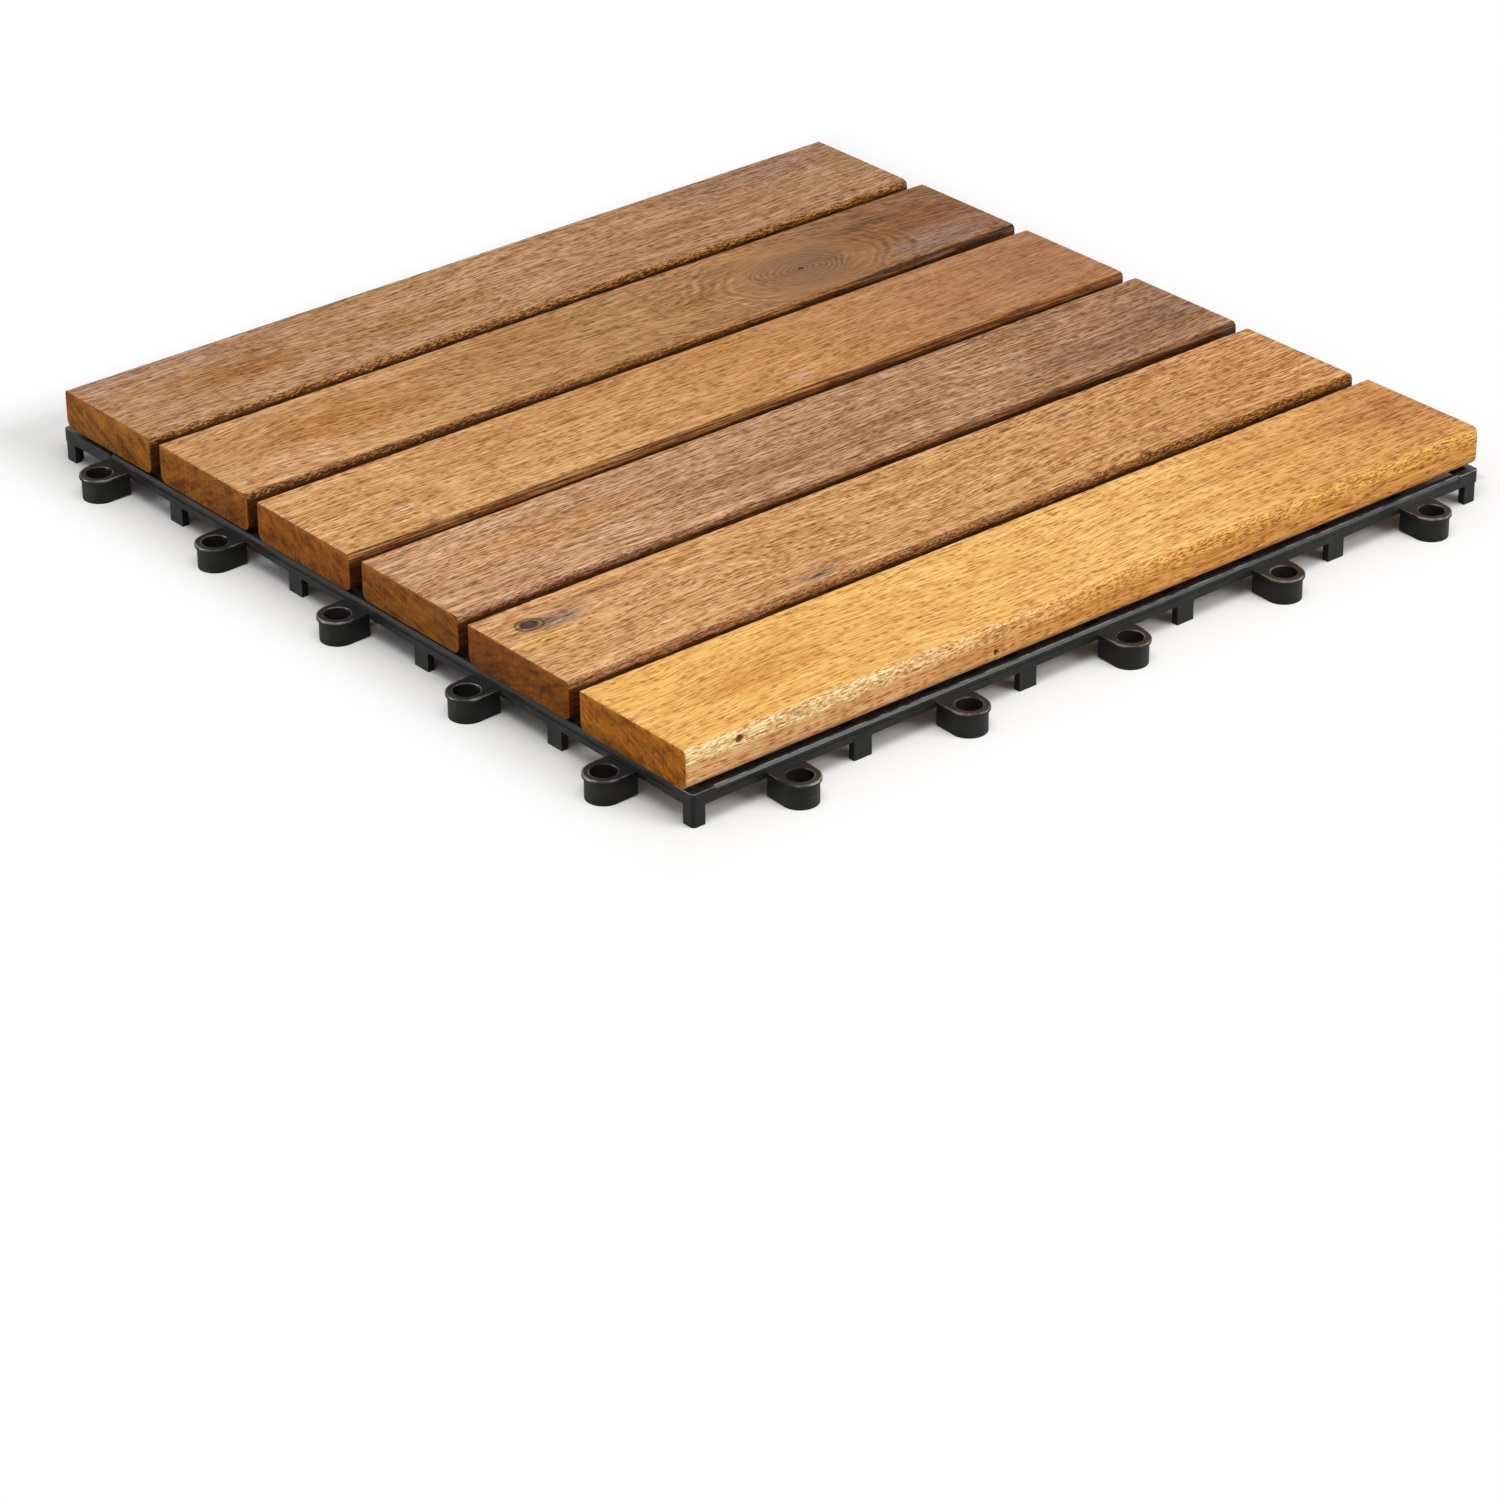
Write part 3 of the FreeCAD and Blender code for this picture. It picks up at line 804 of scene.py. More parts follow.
@dataclass(frozen=True)
class PlasticFinish:
    """Satin black polypropylene, as moulded."""

    colour: str = "1C1C1B"
    rubbed: str = "8E8A84"
    dust: str = "8A8378"
    rough: float = 0.34
    shine: float = 0.36
    seed: float = 2.0

    def dress(self, name: str) -> Material:
        """Make the plastic's material.

        Args:
            name: What it is called.

        Returns:
            The material.
        """
        material, graph, shader = new_material(name)
        place = millimetres(graph)
        edge = graph.attribute("rubbed_edge")
        wear = HANDLING_WEAR.place(graph, {"Position": place, "Edge": edge, "Seed": self.seed})
        cloud = graph.noise(graph.cells_of(place, (14.0, 14.0, 6.0), self.seed), 3.0)
        colour = graph.tint(paint(self.colour), graph.soft(cloud, 0.4, 0.65), (1.35, 1.35, 1.33))
        colour = graph.blend(graph.product(wear["Rub"], 0.7), colour, paint(self.rubbed))
        colour = graph.blend(graph.product(wear["Scuff"], 0.10), colour, paint(self.rubbed))
        colour = graph.blend(graph.product(wear["Dust"], 0.05), colour, paint(self.dust))
        graph.put(shader.inputs["Base Color"], colour)
        rough = graph.total(self.rough, graph.product(wear["Dust"], 0.18), graph.product(wear["Scuff"], 0.12))
        rough = graph.calc("SUBTRACT", rough, graph.product(wear["Rub"], 0.1))
        graph.put(shader.inputs["Roughness"], rough)
        shader.inputs["Specular IOR Level"].default_value = self.shine
        graph.bump(shader, graph.product(wear["Height"], 0.02))
        return material


@dataclass(frozen=True)
class SteelFinish:
    """Zinc-plated steel with a fine turned grain."""

    colour: str = "A9A8A2"
    rough: float = 0.32
    seed: float = 9.0

    def dress(self, name: str) -> Material:
        """Make the steel's material.

        Args:
            name: What it is called.

        Returns:
            The material.
        """
        material, graph, shader = new_material(name)
        place = millimetres(graph)
        wear = HANDLING_WEAR.place(graph, {"Position": place, "Edge": 0.6, "Scale": 3.0, "Seed": self.seed})
        colour = graph.tint(paint(self.colour), graph.product(wear["Dust"], 0.8), (0.62, 0.60, 0.55))
        graph.put(shader.inputs["Base Color"], colour)
        shader.inputs["Metallic"].default_value = 1.0
        rough = graph.total(self.rough, graph.product(wear["Scuff"], 0.2), graph.product(wear["Dust"], 0.2))
        graph.put(shader.inputs["Roughness"], rough)
        graph.bump(shader, graph.product(wear["Height"], 0.012))
        return material


def add_object(name: str, data: bpy.types.ID) -> Object:
    """Put an object in the scene."""
    added = bpy.data.objects.new(name, data)
    bpy.context.scene.collection.objects.link(added)
    return added


def finish_piece(name: str, mesh: bpy.types.Mesh, material: Material,
                 node: str) -> Object:
    """Put a mesh in the scene as a piece of the tile.

    Args:
        name: The piece's name.
        mesh: Its mesh, in its place.
        material: What it is made of.
        node: The node that it stands for, which is hidden.

    Returns:
        The piece.
    """
    mesh.materials.clear()
    mesh.materials.append(material)
    piece = add_object(name, mesh)
    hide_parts(node)
    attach(piece, BODY)
    LOG.info("%s: %d faces", name, len(mesh.polygons))
    return piece


def to_mesh(name: str, bm: BMesh, smooth_under: float | None = None) -> bpy.types.Mesh:
    """Turn a bmesh into a mesh and free it.

    Args:
        name: The mesh's name.
        bm: What it is made from.
        smooth_under: Faces that meet at less than this angle, in degrees, are shaded as one.

    Returns:
        The mesh.
    """
    if smooth_under is not None:
        for face in bm.faces:
            face.smooth = True
        for edge in bm.edges:
            edge.smooth = edge.is_manifold and edge.calc_face_angle(0.0) < math.radians(smooth_under)
    mesh = bpy.data.meshes.new(name)
    bm.to_mesh(mesh)
    bm.free()
    return mesh


def bevel(bm: BMesh, edges: Iterable[Edge], width: float, segments: int) -> list[Face]:
    """Round edges off.

    Args:
        bm: What they are on.
        edges: The edges.
        width: How far the round reaches on each side, in metres.
        segments: How many steps it has.

    Returns:
        The faces of the round.
    """
    made = bmesh.ops.bevel(bm, geom=list(edges), offset=width, affect="EDGES", segments=segments,
                           profile=0.5, material=-1, clamp_overlap=False)
    return made["faces"]


def cut(bm: BMesh, geom: Sequence[object], place: Vector, way: Vector) -> None:
    """Add lines to a mesh where a plane meets it."""
    bmesh.ops.bisect_plane(bm, geom=geom, plane_co=place, plane_no=way, dist=SAME_PLANE)


@dataclass
class Pit:
    """A small break in a board's front arris or side."""

    along: float
    drop: float
    radius: float
    depth: float
    stretch: float = 1.0


@dataclass
class Board:
    """One board: rounded along its length, sawn at its ends, its upper arrises torn."""

    name: str
    finish: AcaciaFinish
    front_round: float = 1.5 * MM
    back_round: float = 0.35 * MM
    bottom_round: float = 2.6 * MM
    end_ease: float = 0.18 * MM
    step: float = 0.75 * MM
    torn_reach: float = 2.5 * MM
    torn_depth: float = 0.34 * MM
    pits: tuple[Pit, ...] = ()
    line_depths: tuple[float, ...] = (2.0, 2.6, 3.4)
    pit_line_depths: tuple[float, ...] = (4.4, 7.0, 8.3, 9.2)
    smooth_under: float = 60.0

    def __post_init__(self) -> None:
        """Take the board's box from its node."""
        self.low, self.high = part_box(self.name)

    def bar(self) -> BMesh:
        """Make the rounded bar.

        Returns:
            The bar, still in one step along its length.
        """
        bm = bmesh.new()
        bmesh.ops.create_cube(bm, size=1.0)
        bmesh.ops.scale(bm, vec=self.high - self.low, verts=bm.verts)
        bmesh.ops.translate(bm, vec=(self.low + self.high) / 2, verts=bm.verts)
        for corner, radius, steps in ((Vector((0, self.low.y, self.high.z)), self.front_round, 5),
                                      (Vector((0, self.high.y, self.high.z)), self.back_round, 2),
                                      (Vector((0, self.low.y, self.low.z)), self.bottom_round, 5),
                                      (Vector((0, self.high.y, self.low.z)), self.bottom_round, 5)):
            bevel(bm, self.long_edges(bm, lambda v: (v.co.yz - corner.yz).length < HAIR), radius, steps)
        ends = [e for e in bm.edges if abs(e.verts[0].co.x - e.verts[1].co.x) < HAIR]
        bevel(bm, ends, self.end_ease, 1)
        return bm

    def long_edges(self, bm: BMesh, wanted: Callable[[Vert], bool]) -> list[Edge]:
        """The edges along the board whose ends are both wanted."""
        return [e for e in bm.edges if abs(e.verts[0].co.x - e.verts[1].co.x) > LONG_EDGE
                and all(wanted(v) for v in e.verts)]

    def cut_lines(self, bm: BMesh) -> None:
        """Add lines round the bar beside its arrises, and steps along it."""
        depths = self.line_depths + (self.pit_line_depths if self.pits else ())
        planes = [(Vector((0, 0, self.high.z - d * MM)), Vector((0, 0, 1))) for d in depths]
        for d in self.line_depths:
            for y in (self.low.y + d * MM, self.high.y - d * MM):
                planes.append((Vector((0, y, 0)), Vector((0, 1, 0))))
        for place, way in planes:
            cut(bm, [*bm.verts, *bm.edges, *bm.faces], place, way)
        cuts = round((self.high.x - self.low.x) / self.step) - 1
        along = self.long_edges(bm, lambda v: True)
        bmesh.ops.subdivide_edges(bm, edges=along, cuts=cuts, use_grid_fill=True)

    def torn_share(self, point: Vector) -> float:
        """How much a point is plucked: wholly on the front arris, a little on the back one."""
        down = self.high.z - point.z
        front = smooth_step(math.hypot(point.y - self.low.y, down), self.torn_reach, self.torn_reach * 0.35)
        back = smooth_step(math.hypot(self.high.y - point.y, down), self.torn_reach * 0.4, 0.0)
        near, far = self.finish.torn
        along = (point.x - self.low.x) / (self.high.x - self.low.x)
        return front * (0.3 + 0.7 * (near + (far - near) * along)) + 0.25 * back

    def tear(self, bm: BMesh) -> None:
        """Pluck the upper arrises, never outwards."""
        bm.normal_update()
        seed = Vector((self.finish.seed * 11.3, 0, 0))
        for vert in bm.verts:
            share = self.torn_share(vert.co)
            if share <= 0.0:
                continue
            place = vert.co / MM
            coarse = noise.noise(Vector((place.x / 5.5, place.y / 2.0, place.z / 2.0)) + seed)
            fine = noise.noise(Vector((place.x / 1.7, place.y / 0.8, place.z / 0.8)) + seed)
            depth = max(0.0, 0.35 + 0.9 * coarse + 0.9 * fine) * self.torn_depth * share
            vert.co -= vert.normal * depth

    def break_out(self, bm: BMesh, pit: Pit) -> None:
        """Sink a small pit into the front of the board, and mark how deep each point lies in it."""
        centre = Vector((self.low.x + pit.along * MM, self.low.y, self.high.z - pit.drop * MM))
        reach = pit.radius * MM
        limit = 2.2 * reach * pit.stretch
        near = [e for e in bm.edges if all((v.co - centre).length < limit for v in e.verts)]
        bmesh.ops.subdivide_edges(bm, edges=near, cuts=3, use_grid_fill=True)
        broken = bm.verts.layers.float["broken"]
        for vert in bm.verts:
            gap = vert.co - centre
            far = math.hypot(gap.x / pit.stretch, gap.z) / reach
            if far < 1.3 and gap.y < 1.5 * MM:
                ragged = 1 + 0.35 * noise.noise(vert.co / MM * 1.9)
                # This mask later carries the painted shade in the pit.
                vert[broken] = smooth_step(far * ragged, 1.05, 0.6)
                vert.co.y += pit.depth * MM * smooth_step(far * ragged, 1.0, 0.45)

    def build(self) -> Object:
        """Make the board and dress it.

        Returns:
            The piece.
        """
        bm = self.bar()
        self.cut_lines(bm)
        self.tear(bm)
        bm.verts.layers.float.new("broken")
        for pit in self.pits:
            self.break_out(bm, pit)
        mesh = to_mesh(self.name + "_board", bm, self.smooth_under)
        material = self.finish.dress(self.name + "_acacia", self.low, self.high)
        return finish_piece(self.name + "_board", mesh, material, self.name)


@dataclass
class Decking:
    """The six boards, from the far one to the near one."""

    boards: list[Board] = field(default_factory=lambda: [
        Board("slat_1", AcaciaFinish(
            Run("BA8B5D", "B9895B", "AC8057"), Run("BD834F", "C08346", "C18240"), 1.7, wave=8.0, ripple=0.45,
            contrast=1.3, pores=0.42, arris_low=(0.56, 0.46, 0.29),
            patches=(
                Patch((46, 23), (30, 11), "A4682A", 0.95, 0.7),
                Patch((110, 27), (40, 8), "AA743A", 0.8, 0.8),
                Patch((30, 6), (60, 8), "A9826C", 0.6, 0.8),
                Patch((225, 24), (60, 7), "A26E3E", 0.6, 0.8),
                Patch((262, 8), (50, 8), "A17A62", 0.7),
            ), torn_pale=Run("D8A868", "D6A45E", "D09C56"), torn_dark="42260C", end="BC7320"),
            back_round=0.8 * MM),
        Board("slat_2", AcaciaFinish(
            Run("C9945D", "B3824E", "90643F"), Run("92623A", "B2753B", "46240E"), 12.4, wave=9.0, ripple=0.6,
            slope=-0.05, torn=(1.0, 0.1), contrast=0.95, grain_run=(0.95, 1.1), arris_low=(0.47, 0.35, 0.17),
            patches=(
                Patch((50, 20), (42, 14), "A0662C", 0.95, 0.8),
                Patch((24, 34), (30, 7), "C29668", 0.6, 0.8),
                Patch((120, 12), (44, 9), "A46C34", 0.7, 0.8),
                Patch((182, 24), (18, 15), "9A662E", 0.7, 0.7),
                Patch((205, 12), (14, 6), "94683C", 0.7, 0.8),
                Patch((243, 28), (5, 9), "CC9254", 0.7, 0.8),
                Patch((258, 20), (16, 13), "AE743A", 0.7, 0.7),
                Patch((280, 19), (34, 9), "A46832", 0.8, 0.6),
                Patch((262, 13), (18, 4), "845A2C", 0.8, 0.9),
                Patch((272, 36), (26, 8), "B2947A", 0.8, 0.6),
                Patch((281, 41), (6, 1.2), "E4B47C", 0.6, 1.0),
            ), knots=(Knot((224, 26), 11.0, KnotKind.EYE, 1.65, "2E2018", "8E6846", 0.12, 1.0),),
            torn_pale=Run("CC9658", "D6A05C", "9A6840"), torn_dark="34200E", end="B26812", end_slant=-0.6)),
        Board("slat_3", AcaciaFinish(
            Run("D39D62", "C58D53", "B07B4E"), Run("8F5E36", "71431D", "6E3E19"), 23.8, wave=4.5, ripple=0.35,
            pores=0.38, contrast=0.95, grain_run=(1.1, 0.7), torn=(0.15, 0.2),
            arris_low=(1.15, 1.08, 0.84), arris_reach=2.5,
            patches=(
                Patch((125, 3), (9, 5), "B07428", 0.7, 0.8),
                Patch((170, 3), (10, 5), "B07428", 0.7, 0.8),
                Patch((245, 24), (22, 12), "B87A48", 0.5, 0.8),
                Patch((30, 31), (8, 2.5), "DDB48C", 0.45, 0.9),
                Patch((172, 37), (5, 3), "E0BC98", 0.6, 0.8),
                Patch((285, 20), (30, 22), "A46E48", 0.5),
            ), torn_pale=Run("CC9250", "BC8040", "B67A3A"), torn_dark="44240A",
            dark_grain=(0.64, 0.51, 0.34), end="B4660C", end_slant=0.9)),
        Board("slat_4", AcaciaFinish(
            Run("CA996C", "B6885D", "A47852"), Run("BA8966", "BA8357", "764A22"), 34.1, wave=4.0, ripple=0.4,
            pores=0.52, contrast=1.2, grain_run=(1.0, 1.2), torn=(0.7, 0.05), arris_low=(0.56, 0.43, 0.21),
            patches=(
                Patch((130, 28), (74, 4), "8C603A", 0.65, 0.8),
                Patch((50, 20), (44, 9), "BC8448", 0.7, 0.8),
                Patch((255, 32), (52, 10), "94694A", 0.7, 0.8),
                Patch((285, 22), (16, 16), "92705A", 0.5, 0.6),
                Patch((130, 9), (6, 5), "C29A78", 0.5, 0.8),
                Patch((228, 21), (8, 6), "C29A78", 0.4, 0.8),
            ), torn_pale=Run("C89C78", "B48660", "8C6240"), torn_dark="42240E", end="AC6412", end_slant=0.3)),
        Board("slat_5", AcaciaFinish(
            Run("D19C66", "CC975C", "C48B51"), Run("BB8151", "AA7442", "925719"), 45.6, wave=7.0, ripple=0.7,
            pores=0.44, contrast=1.1, grain_run=(0.9, 1.2), torn=(0.6, 1.0), arris_low=(0.85, 0.73, 0.45),
            arris_reach=2.4, dark_grain=(0.66, 0.52, 0.34),
            patches=(
                Patch((21, 13), (10, 5), "74604C", 0.9, 0.5),
                Patch((38, 7), (18, 2.4), "8E5C36", 0.8, 1.0),
                Patch((92, 40), (11, 3.0), "8C6E54", 0.9, 0.8),
                Patch((92, 40), (3.5, 1.1), "5A4638", 0.9, 0.6),
                Patch((213, 9), (9, 4), "A87E56", 0.6, 0.8),
                Patch((12, 22), (16, 6), "D29C4A", 0.8, 0.6),
                Patch((60, 4), (50, 3), "D69C4E", 0.5, 0.8),
            ), knots=(Knot((12.4, 11.0), 1.6, KnotKind.KNOT, 1.3, "3E4046", "6A3E22", 0.4),),
            arches=(Arch((126, 23), (62, 13), 4.2, 0.5),),
            torn_pale=Run("C8966C", "CC9250", "D89A3E"), torn_dark="482A0C", end="9E5709", end_slant=-0.3)),
        Board("slat_6", AcaciaFinish(
            # The near-white arris and torn specks at this board's near end are partly a painted highlight.
            Run("ECB662", "EDB968", "D99F58"), Run("FFE0A4", "E6A856", "E4AA54"), 56.2,
            side_and_gap_shade=Run("E8AF72", "DC984A", "DA9848"), wave=5.0, ripple=0.5, pores=0.34, contrast=0.9,
            grain_run=(0.85, 1.2), lift=0.08,
            torn=(0.7, 0.95), arris_low=(1.2, 1.12, 0.98), arris_reach=4.6, dark_grain=(0.74, 0.58, 0.38),
            pale_grain=(1.16, 1.3, 1.56), pore=(0.5, 0.31, 0.14),
            patches=(
                Patch((42, 24), (24, 10), "D28C3A", 0.7, 0.9),
                Patch((62, 14), (12, 10), "DA9E4E", 0.5, 0.9),
                Patch((287, 20), (24, 24), "BC8048", 0.8, 0.8),
                Patch((230, 18), (60, 5), "CE9450", 0.5, 0.9),
            ), torn_pale=Run("FFECC0", "F8C878", "F0BA5C"), torn_dark="96581C", end="C6750E"),
            pits=(Pit(18.3, 2.7, 1.3, 1.1, 1.2), Pit(109.2, 8.4, 0.95, 1.2))),
    ])

    def build(self) -> list[Object]:
        """Make the boards."""
        return [board.build() for board in self.boards]


@dataclass
class MouldedGrid:
    """The black grid under the boards: the node's own form with its moulded rounds."""

    node: str = "base_grid"
    finish: PlasticFinish = field(default_factory=PlasticFinish)
    # The loop holes' walls take a plastic darker than the rest: painted shade deep in the holes.
    hole_shade_finish: PlasticFinish = field(default_factory=lambda: PlasticFinish("060606", rough=0.7, shine=0.06))
    face: float = 149.0 * MM
    corner_block: float = 8.0 * MM
    rail_bottom: float = 6.0 * MM
    rail_top: float = 10.1 * MM
    loop_reach: float = 6.7 * MM
    loop_pitch: float = 60.0 * MM
    loop_shift: float = 2.1 * MM
    loop_count: int = 5
    loop_top: float = 7.8 * MM
    lip_radius: float = 6.0 * MM
    hole_radius: float = 3.85 * MM
    same: float = 0.02 * MM
    sharp_over: float = 40.0
    smooth_under: float = 35.0

    def loop_centres(self) -> list[Vector]:
        """The middles of the ten loop holes, on the floor."""
        out = []
        for side in Side:
            turn = Matrix.Rotation(math.radians(side.value), 3, "Z")
            shift = self.loop_shift if side is Side.FRONT else 0.0
            for i in range(self.loop_count):
                place = (i - (self.loop_count - 1) / 2) * self.loop_pitch + shift
                out.append(turn @ Vector((place, -self.face - self.loop_reach, 0)))
        return out

    def from_loop(self, point: Vector) -> float:
        """How far a point is from the nearest loop's middle, seen from above."""
        return min((point.xy - centre.xy).length for centre in self.centres)

    def outside(self, point: Vector) -> bool:
        """Whether a point stands out of the rails."""
        return min(point.x, point.y) < -self.face - self.same

    def picked(self, bm: BMesh, wanted: Callable[[Vector], bool]) -> list[Edge]:
        """The sharp outer edges whose ends are both wanted.

        Args:
            bm: The grid.
            wanted: Says whether a point is.

        Returns:
            The edges.
        """
        sharp = math.radians(self.sharp_over)
        outer = [e for e in bm.edges if e.is_manifold and e.is_convex and e.calc_face_angle(0.0) >= sharp]
        return [e for e in outer if all(wanted(v.co) for v in e.verts)]

    def at(self, value: float, wanted: float) -> bool:
        """Whether a height is the wanted one."""
        return abs(value - wanted) < self.same

    def rounds(self) -> list[tuple[Callable[[Vector], bool], float, int]]:
        """The edges that the mould rounds, with the width and steps of each round."""
        block = self.face - self.corner_block - self.same
        return [
            (lambda p: self.at(p.z, self.loop_top) and self.outside(p)
             and self.from_loop(p) > self.lip_radius - self.same, 0.5 * MM, 3),
            (lambda p: self.at(p.z, self.loop_top)
             and self.at(self.from_loop(p), self.hole_radius), 0.32 * MM, 2),
            (lambda p: self.at(p.z, self.rail_top) and abs(p.x) > block and abs(p.y) > block
             and max(abs(p.x), abs(p.y)) > self.face - 1.3 * MM, 0.2 * MM, 2),
            (lambda p: self.at(p.z, self.rail_bottom) and not self.outside(p)
             and max(abs(p.x), abs(p.y)) > self.face - self.same, 0.25 * MM, 2),
        ]

    def build(self) -> Object:
        """Round a copy of the node's mesh and dress it.

        Returns:
            The piece.
        """
        self.centres = self.loop_centres()
        bm = bmesh.new()
        bm.from_mesh(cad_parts[self.node].data)
        bmesh.ops.remove_doubles(bm, verts=bm.verts, dist=SAME_POINT)
        bmesh.ops.dissolve_limit(bm, angle_limit=math.radians(1.0), use_dissolve_boundaries=False,
                                 verts=bm.verts, edges=bm.edges, delimit=set())
        rubbed = bm.faces.layers.float.new("rubbed_edge")
        for wanted, width, segments in self.rounds():
            edges = self.picked(bm, wanted)
            faces = bevel(bm, edges, width, segments)
            LOG.info("%s: %d edges rounded %.2f mm", self.node, len(edges), width / MM)
            for face in faces:
                face[rubbed] = 1.0
        # Faces on the holes' walls take the second material, the painted shade.
        for face in bm.faces:
            middle = face.calc_center_median()
            in_hole = self.from_loop(middle) < self.hole_radius + self.same and abs(face.normal.z) < 0.3
            face.material_index = int(in_hole)
        mesh = to_mesh("moulded_grid", bm, self.smooth_under)
        piece = finish_piece("moulded_grid", mesh, self.finish.dress("black_plastic"), self.node)
        mesh.materials.append(self.hole_shade_finish.dress("painted_shade_in_holes"))
        weighted = piece.modifiers.new("even_shading", "WEIGHTED_NORMAL")
        weighted.keep_sharp = True
        return piece


@dataclass
class ScrewSet:
    """Twelve pan-head screws, driven up from below, with a cross recess in each head."""

    node: str = "slat_screws"
    finish: SteelFinish = field(default_factory=SteelFinish)
    shank_radius: float = 1.75 * MM
    head_radius: float = 3.5 * MM
    head_height: float = 2.2 * MM
    across: float = 120.0 * MM
    pitch: float = 50.0 * MM
    count: int = 6
    arm_width: float = 0.55 * MM
    arm_reach: float = 1.9 * MM
    recess: float = 1.3 * MM
    recess_taper: float = 0.72
    flat: float = 2.2 * MM
    turn_steps: int = 28
    smooth_under: float = 40.0

    def profile(self, bm: BMesh, height: float) -> list[Edge]:
        """Half of a screw's outline, from the rim of its flat face to its tip.

        Args:
            bm: Where the outline goes.
            height: From the head's face to the tip.

        Returns:
            Its edges.
        """
        points = [(self.flat, 0.0), (self.flat + 0.5 * MM, 0.08 * MM),
                  (self.head_radius - 0.4 * MM, 0.42 * MM), (self.head_radius - 0.08 * MM, 0.85 * MM),
                  (self.head_radius, 1.4 * MM),
                  (self.head_radius, self.head_height), (self.shank_radius, self.head_height),
                  (self.shank_radius, height - 3.0 * MM), (0.3 * MM, height - 0.2 * MM), (0.0, height)]
        verts = [bm.verts.new((x, 0.0, z)) for x, z in points]
        return [bm.edges.new(pair) for pair in zip(verts, verts[1:])]

    def one(self, height: float) -> bpy.types.Mesh:
        """Make a screw with its head's face at zero height.

        Args:
            height: From the head's face to the tip.

        Returns:
            The mesh.
        """
        bm = bmesh.new()
        edges = self.profile(bm, height)
        verts = list({v for e in edges for v in e.verts})
        bmesh.ops.spin(bm, geom=[*verts, *edges], cent=(0, 0, 0), axis=(0, 0, 1), angle=math.tau,
                       steps=self.turn_steps, use_merge=True)
        bmesh.ops.remove_doubles(bm, verts=bm.verts, dist=SAME_POINT)
        rim = [e for e in bm.edges if not e.is_manifold]
        bmesh.ops.contextual_create(bm, geom=rim)
        self.cut_recess(bm)
        bmesh.ops.recalc_face_normals(bm, faces=bm.faces)
        return to_mesh("screw", bm, self.smooth_under)

    def cut_recess(self, bm: BMesh) -> None:
        """Sink the cross into the head's flat face."""
        for way in (Vector((1, 0, 0)), Vector((0, 1, 0))):
            for far in (-self.arm_reach, -self.arm_width, self.arm_width, self.arm_reach):
                flat = [f for f in bm.faces if all(abs(v.co.z) < SAME_PLANE for v in f.verts)]
                geom = [*flat, *{e for f in flat for e in f.edges}, *{v for f in flat for v in f.verts}]
                cut(bm, geom, way * far, way)
        cross = []
        for face in bm.faces:
            if any(abs(v.co.z) > SAME_PLANE for v in face.verts):
                continue
            middle = face.calc_center_median()
            x, y = abs(middle.x), abs(middle.y)
            if min(x, y) < self.arm_width and max(x, y) < self.arm_reach:
                cross.append(face)
        made = bmesh.ops.extrude_face_region(bm, geom=cross)
        verts = [v for v in made["geom"] if isinstance(v, Vert)]
        bmesh.ops.delete(bm, geom=cross, context="FACES")
        bmesh.ops.scale(bm, vec=(self.recess_taper, self.recess_taper, 1), verts=verts)
        bmesh.ops.translate(bm, vec=(0, 0, self.recess), verts=verts)

    def build(self) -> Object:
        """Set the screws under the boards.

        Returns:
            The piece.
        """
        low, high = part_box(self.node)
        single = self.one(high.z - low.z)
        bm = bmesh.new()
        for i in range(self.count):
            for x in (-self.across, self.across):
                start = len(bm.verts)
                bm.from_mesh(single)
                bm.verts.ensure_lookup_table()
                turn = Matrix.Rotation(math.radians(37 * i + x * 400), 3, "Z")
                verts = bm.verts[start:]
                bmesh.ops.rotate(bm, cent=(0, 0, 0), matrix=turn, verts=verts)
                y = (i - (self.count - 1) / 2) * self.pitch
                bmesh.ops.translate(bm, vec=(x, y, low.z), verts=verts)
        mesh = to_mesh("pan_head_screws", bm, self.smooth_under)
        return finish_piece("pan_head_screws", mesh, self.finish.dress("zinc_steel"), self.node)


@dataclass
class Softbox:
    """One soft lamp of the studio."""

    name: str
    place: tuple[float, float, float]
    aim: tuple[float, float, float]
    width: float
    height: float
    power: float
    lights_matt: bool = True

    def build(self) -> Object:
        """Hang the lamp, out of the camera's sight.

        Returns:
            The lamp.
        """
        lamp = bpy.data.lights.new(self.name, "AREA")
        lamp.shape = "RECTANGLE"
        lamp.size = self.width
        lamp.size_y = self.height
        lamp.energy = self.power
        hung = add_object(self.name, lamp)
        hung.location = self.place
        hung.rotation_euler = (Vector(self.aim) - Vector(self.place)).to_track_quat("-Z", "Y").to_euler()
        hung.visible_camera = False
        hung.visible_diffuse = self.lights_matt
        return hung


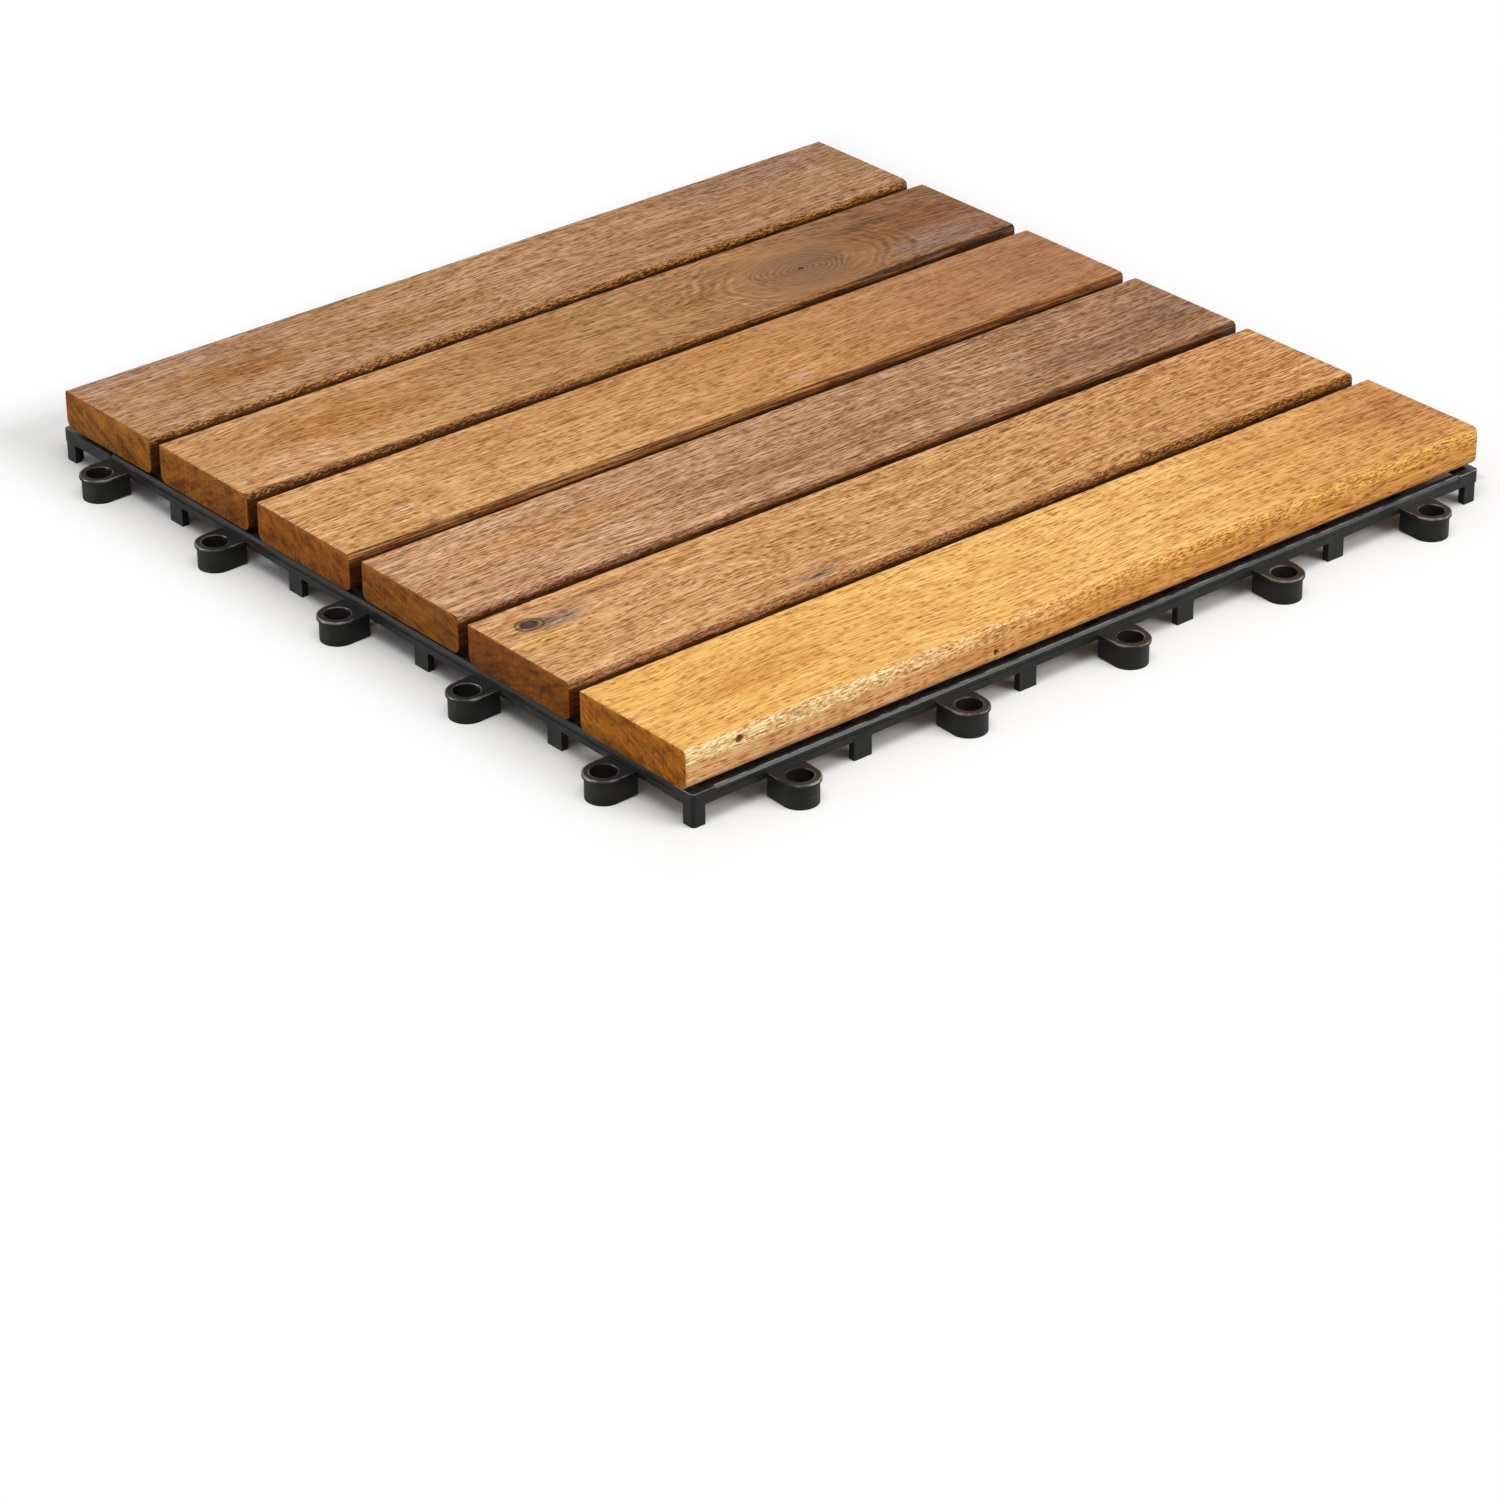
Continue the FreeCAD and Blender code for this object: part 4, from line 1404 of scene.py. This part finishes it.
@dataclass
class Studio:
    """A plain pale floor, soft lamps and the camera.

    The floor is painted darker under the tile, a painted shadow that only the camera sees, and white from a
    little way off.
    """

    floor_size: float = 12.0
    floor_colour: str = "F8F8F7"
    floor_bounce: str = "AAAAA8"
    # Where the floor's painted shadow lies, in millimetres: a box round this middle, fading at its rim.
    shade_middle: tuple[float, float, float] = (11.0, -11.0, 0.0)
    shade_to: float = 153.0
    shade_fade: float = 10.0
    white_from: float = 158.0
    white_by: float = 190.0
    sky_light: float = 0.42
    lamps: list[Softbox] = field(default_factory=lambda: [
        Softbox("overhead_softbox", (-0.35, -0.55, 1.85), (0, 0, 0), 1.3, 1.1, 18.6),
        Softbox("front_softbox", (0.586, -1.256, 0.8), (0, 0, 0), 0.8, 0.6, 9.5),
        Softbox("left_softbox", (-1.18, 0.54, 0.2), (0, 0, 0), 0.5, 0.3, 20.0, False),
        Softbox("right_softbox", (0.95, -0.8, 0.2), (0, 0, 0), 0.4, 0.3, 12.0, False),
        Softbox("edge_softbox", (0.36, -0.62, 0.62), (-0.05, -0.1, 0.0), 0.2, 0.22, 1.6, False),
    ])
    camera_place: tuple[float, float, float] = (-0.887944, -1.0685, 0.674934)
    heading: float = 39.523
    pitch_down: float = 28.909
    roll: float = 0.7008
    lens: float = 124.38
    sensor_width: float = 36.0
    clip: tuple[float, float] = (0.05, 30.0)

    def add_floor(self) -> Object:
        """Lay the floor, whose own paleness away from the tile makes the background white.

        Returns:
            The floor.
        """
        bm = bmesh.new()
        bmesh.ops.create_grid(bm, x_segments=1, y_segments=1, size=self.floor_size / 2)
        mesh = to_mesh("floor", bm)
        material, graph, shader = new_material("pale_floor")
        place = millimetres(graph)
        mottle = graph.noise(graph.cells_of(place, (160.0, 160.0, 160.0)), 2.0)
        path = graph.add("ShaderNodeLightPath")
        seen = path.outputs["Is Camera Ray"]
        colour = graph.tint(paint(self.floor_colour), graph.product(mottle, 0.1), (0.97, 0.97, 0.97))
        gap = graph.vector("SUBTRACT", place, self.shade_middle)
        across, deep, _ = graph.split(graph.vector("ABSOLUTE", gap))
        away = graph.calc("MAXIMUM", across, deep)
        # Painted shadow: under the tile the floor is darkened to a tenth, for camera rays only.
        shade = graph.soft(away, self.shade_to, self.shade_to - self.shade_fade)
        colour = graph.tint(colour, shade, (0.1, 0.1, 0.1))
        colour = graph.blend(seen, paint(self.floor_bounce), colour)
        graph.put(shader.inputs["Base Color"], colour)
        shader.inputs["Roughness"].default_value = 0.85
        shader.inputs["Specular IOR Level"].default_value = 0.1
        glow = graph.add("ShaderNodeEmission", {"Color": WHITE, "Strength": 1.0})
        mix = graph.add("ShaderNodeMixShader")
        graph.put(mix.inputs[0], graph.product(seen, graph.soft(away, self.white_from, self.white_by)))
        graph.put(mix.inputs[1], shader.outputs["BSDF"])
        graph.put(mix.inputs[2], glow.outputs["Emission"])
        output = next(n for n in graph.tree.nodes if n.type == "OUTPUT_MATERIAL")
        graph.put(output.inputs["Surface"], mix.outputs["Shader"])
        mesh.materials.append(material)
        floor = add_object("floor", mesh)
        return floor

    def add_sky(self) -> None:
        """Light the scene evenly, with plain white where the camera or a gloss sees past the floor."""
        world = bpy.data.worlds.new("studio")
        bpy.context.scene.world = world
        world.use_nodes = True
        graph = Graph(world.node_tree)
        graph.tree.nodes.clear()
        path = graph.add("ShaderNodeLightPath")
        seen = graph.calc("MAXIMUM", path.outputs["Is Camera Ray"], path.outputs["Is Glossy Ray"])
        seen = graph.calc("MAXIMUM", seen, path.outputs["Is Transmission Ray"])
        strength = graph.between(seen, self.sky_light, 1.0)
        sky = graph.add("ShaderNodeBackground", {"Color": WHITE, "Strength": strength})
        output = graph.add("ShaderNodeOutputWorld")
        graph.put(output.inputs["Surface"], sky.outputs["Background"])

    def add_camera(self) -> Object:
        """Set the camera where the photograph was taken from.

        Returns:
            The camera.
        """
        data = bpy.data.cameras.new("camera")
        data.sensor_fit = "HORIZONTAL"
        data.sensor_width = self.sensor_width
        data.lens = self.lens
        data.clip_start, data.clip_end = self.clip
        camera = add_object("camera", data)
        turn = Matrix.Rotation(math.radians(-self.heading), 4, "Z")
        turn = turn @ Matrix.Rotation(math.radians(90 - self.pitch_down), 4, "X")
        turn = turn @ Matrix.Rotation(math.radians(-self.roll), 4, "Z")
        camera.matrix_world = Matrix.Translation(self.camera_place) @ turn
        bpy.context.scene.camera = camera
        return camera

    def build(self) -> None:
        """Put the studio up."""
        self.add_floor()
        self.add_sky()
        for lamp in self.lamps:
            lamp.build()
        self.add_camera()
        bpy.context.scene.view_settings.view_transform = "Standard"


def main() -> None:
    """Dress the tile and light it."""
    logging.basicConfig(level=logging.INFO, format="%(name)s %(message)s")
    Studio().build()
    MouldedGrid().build()
    ScrewSet().build()
    Decking().build()
    bpy.context.view_layer.update()


if __name__ == "__main__":
    main()
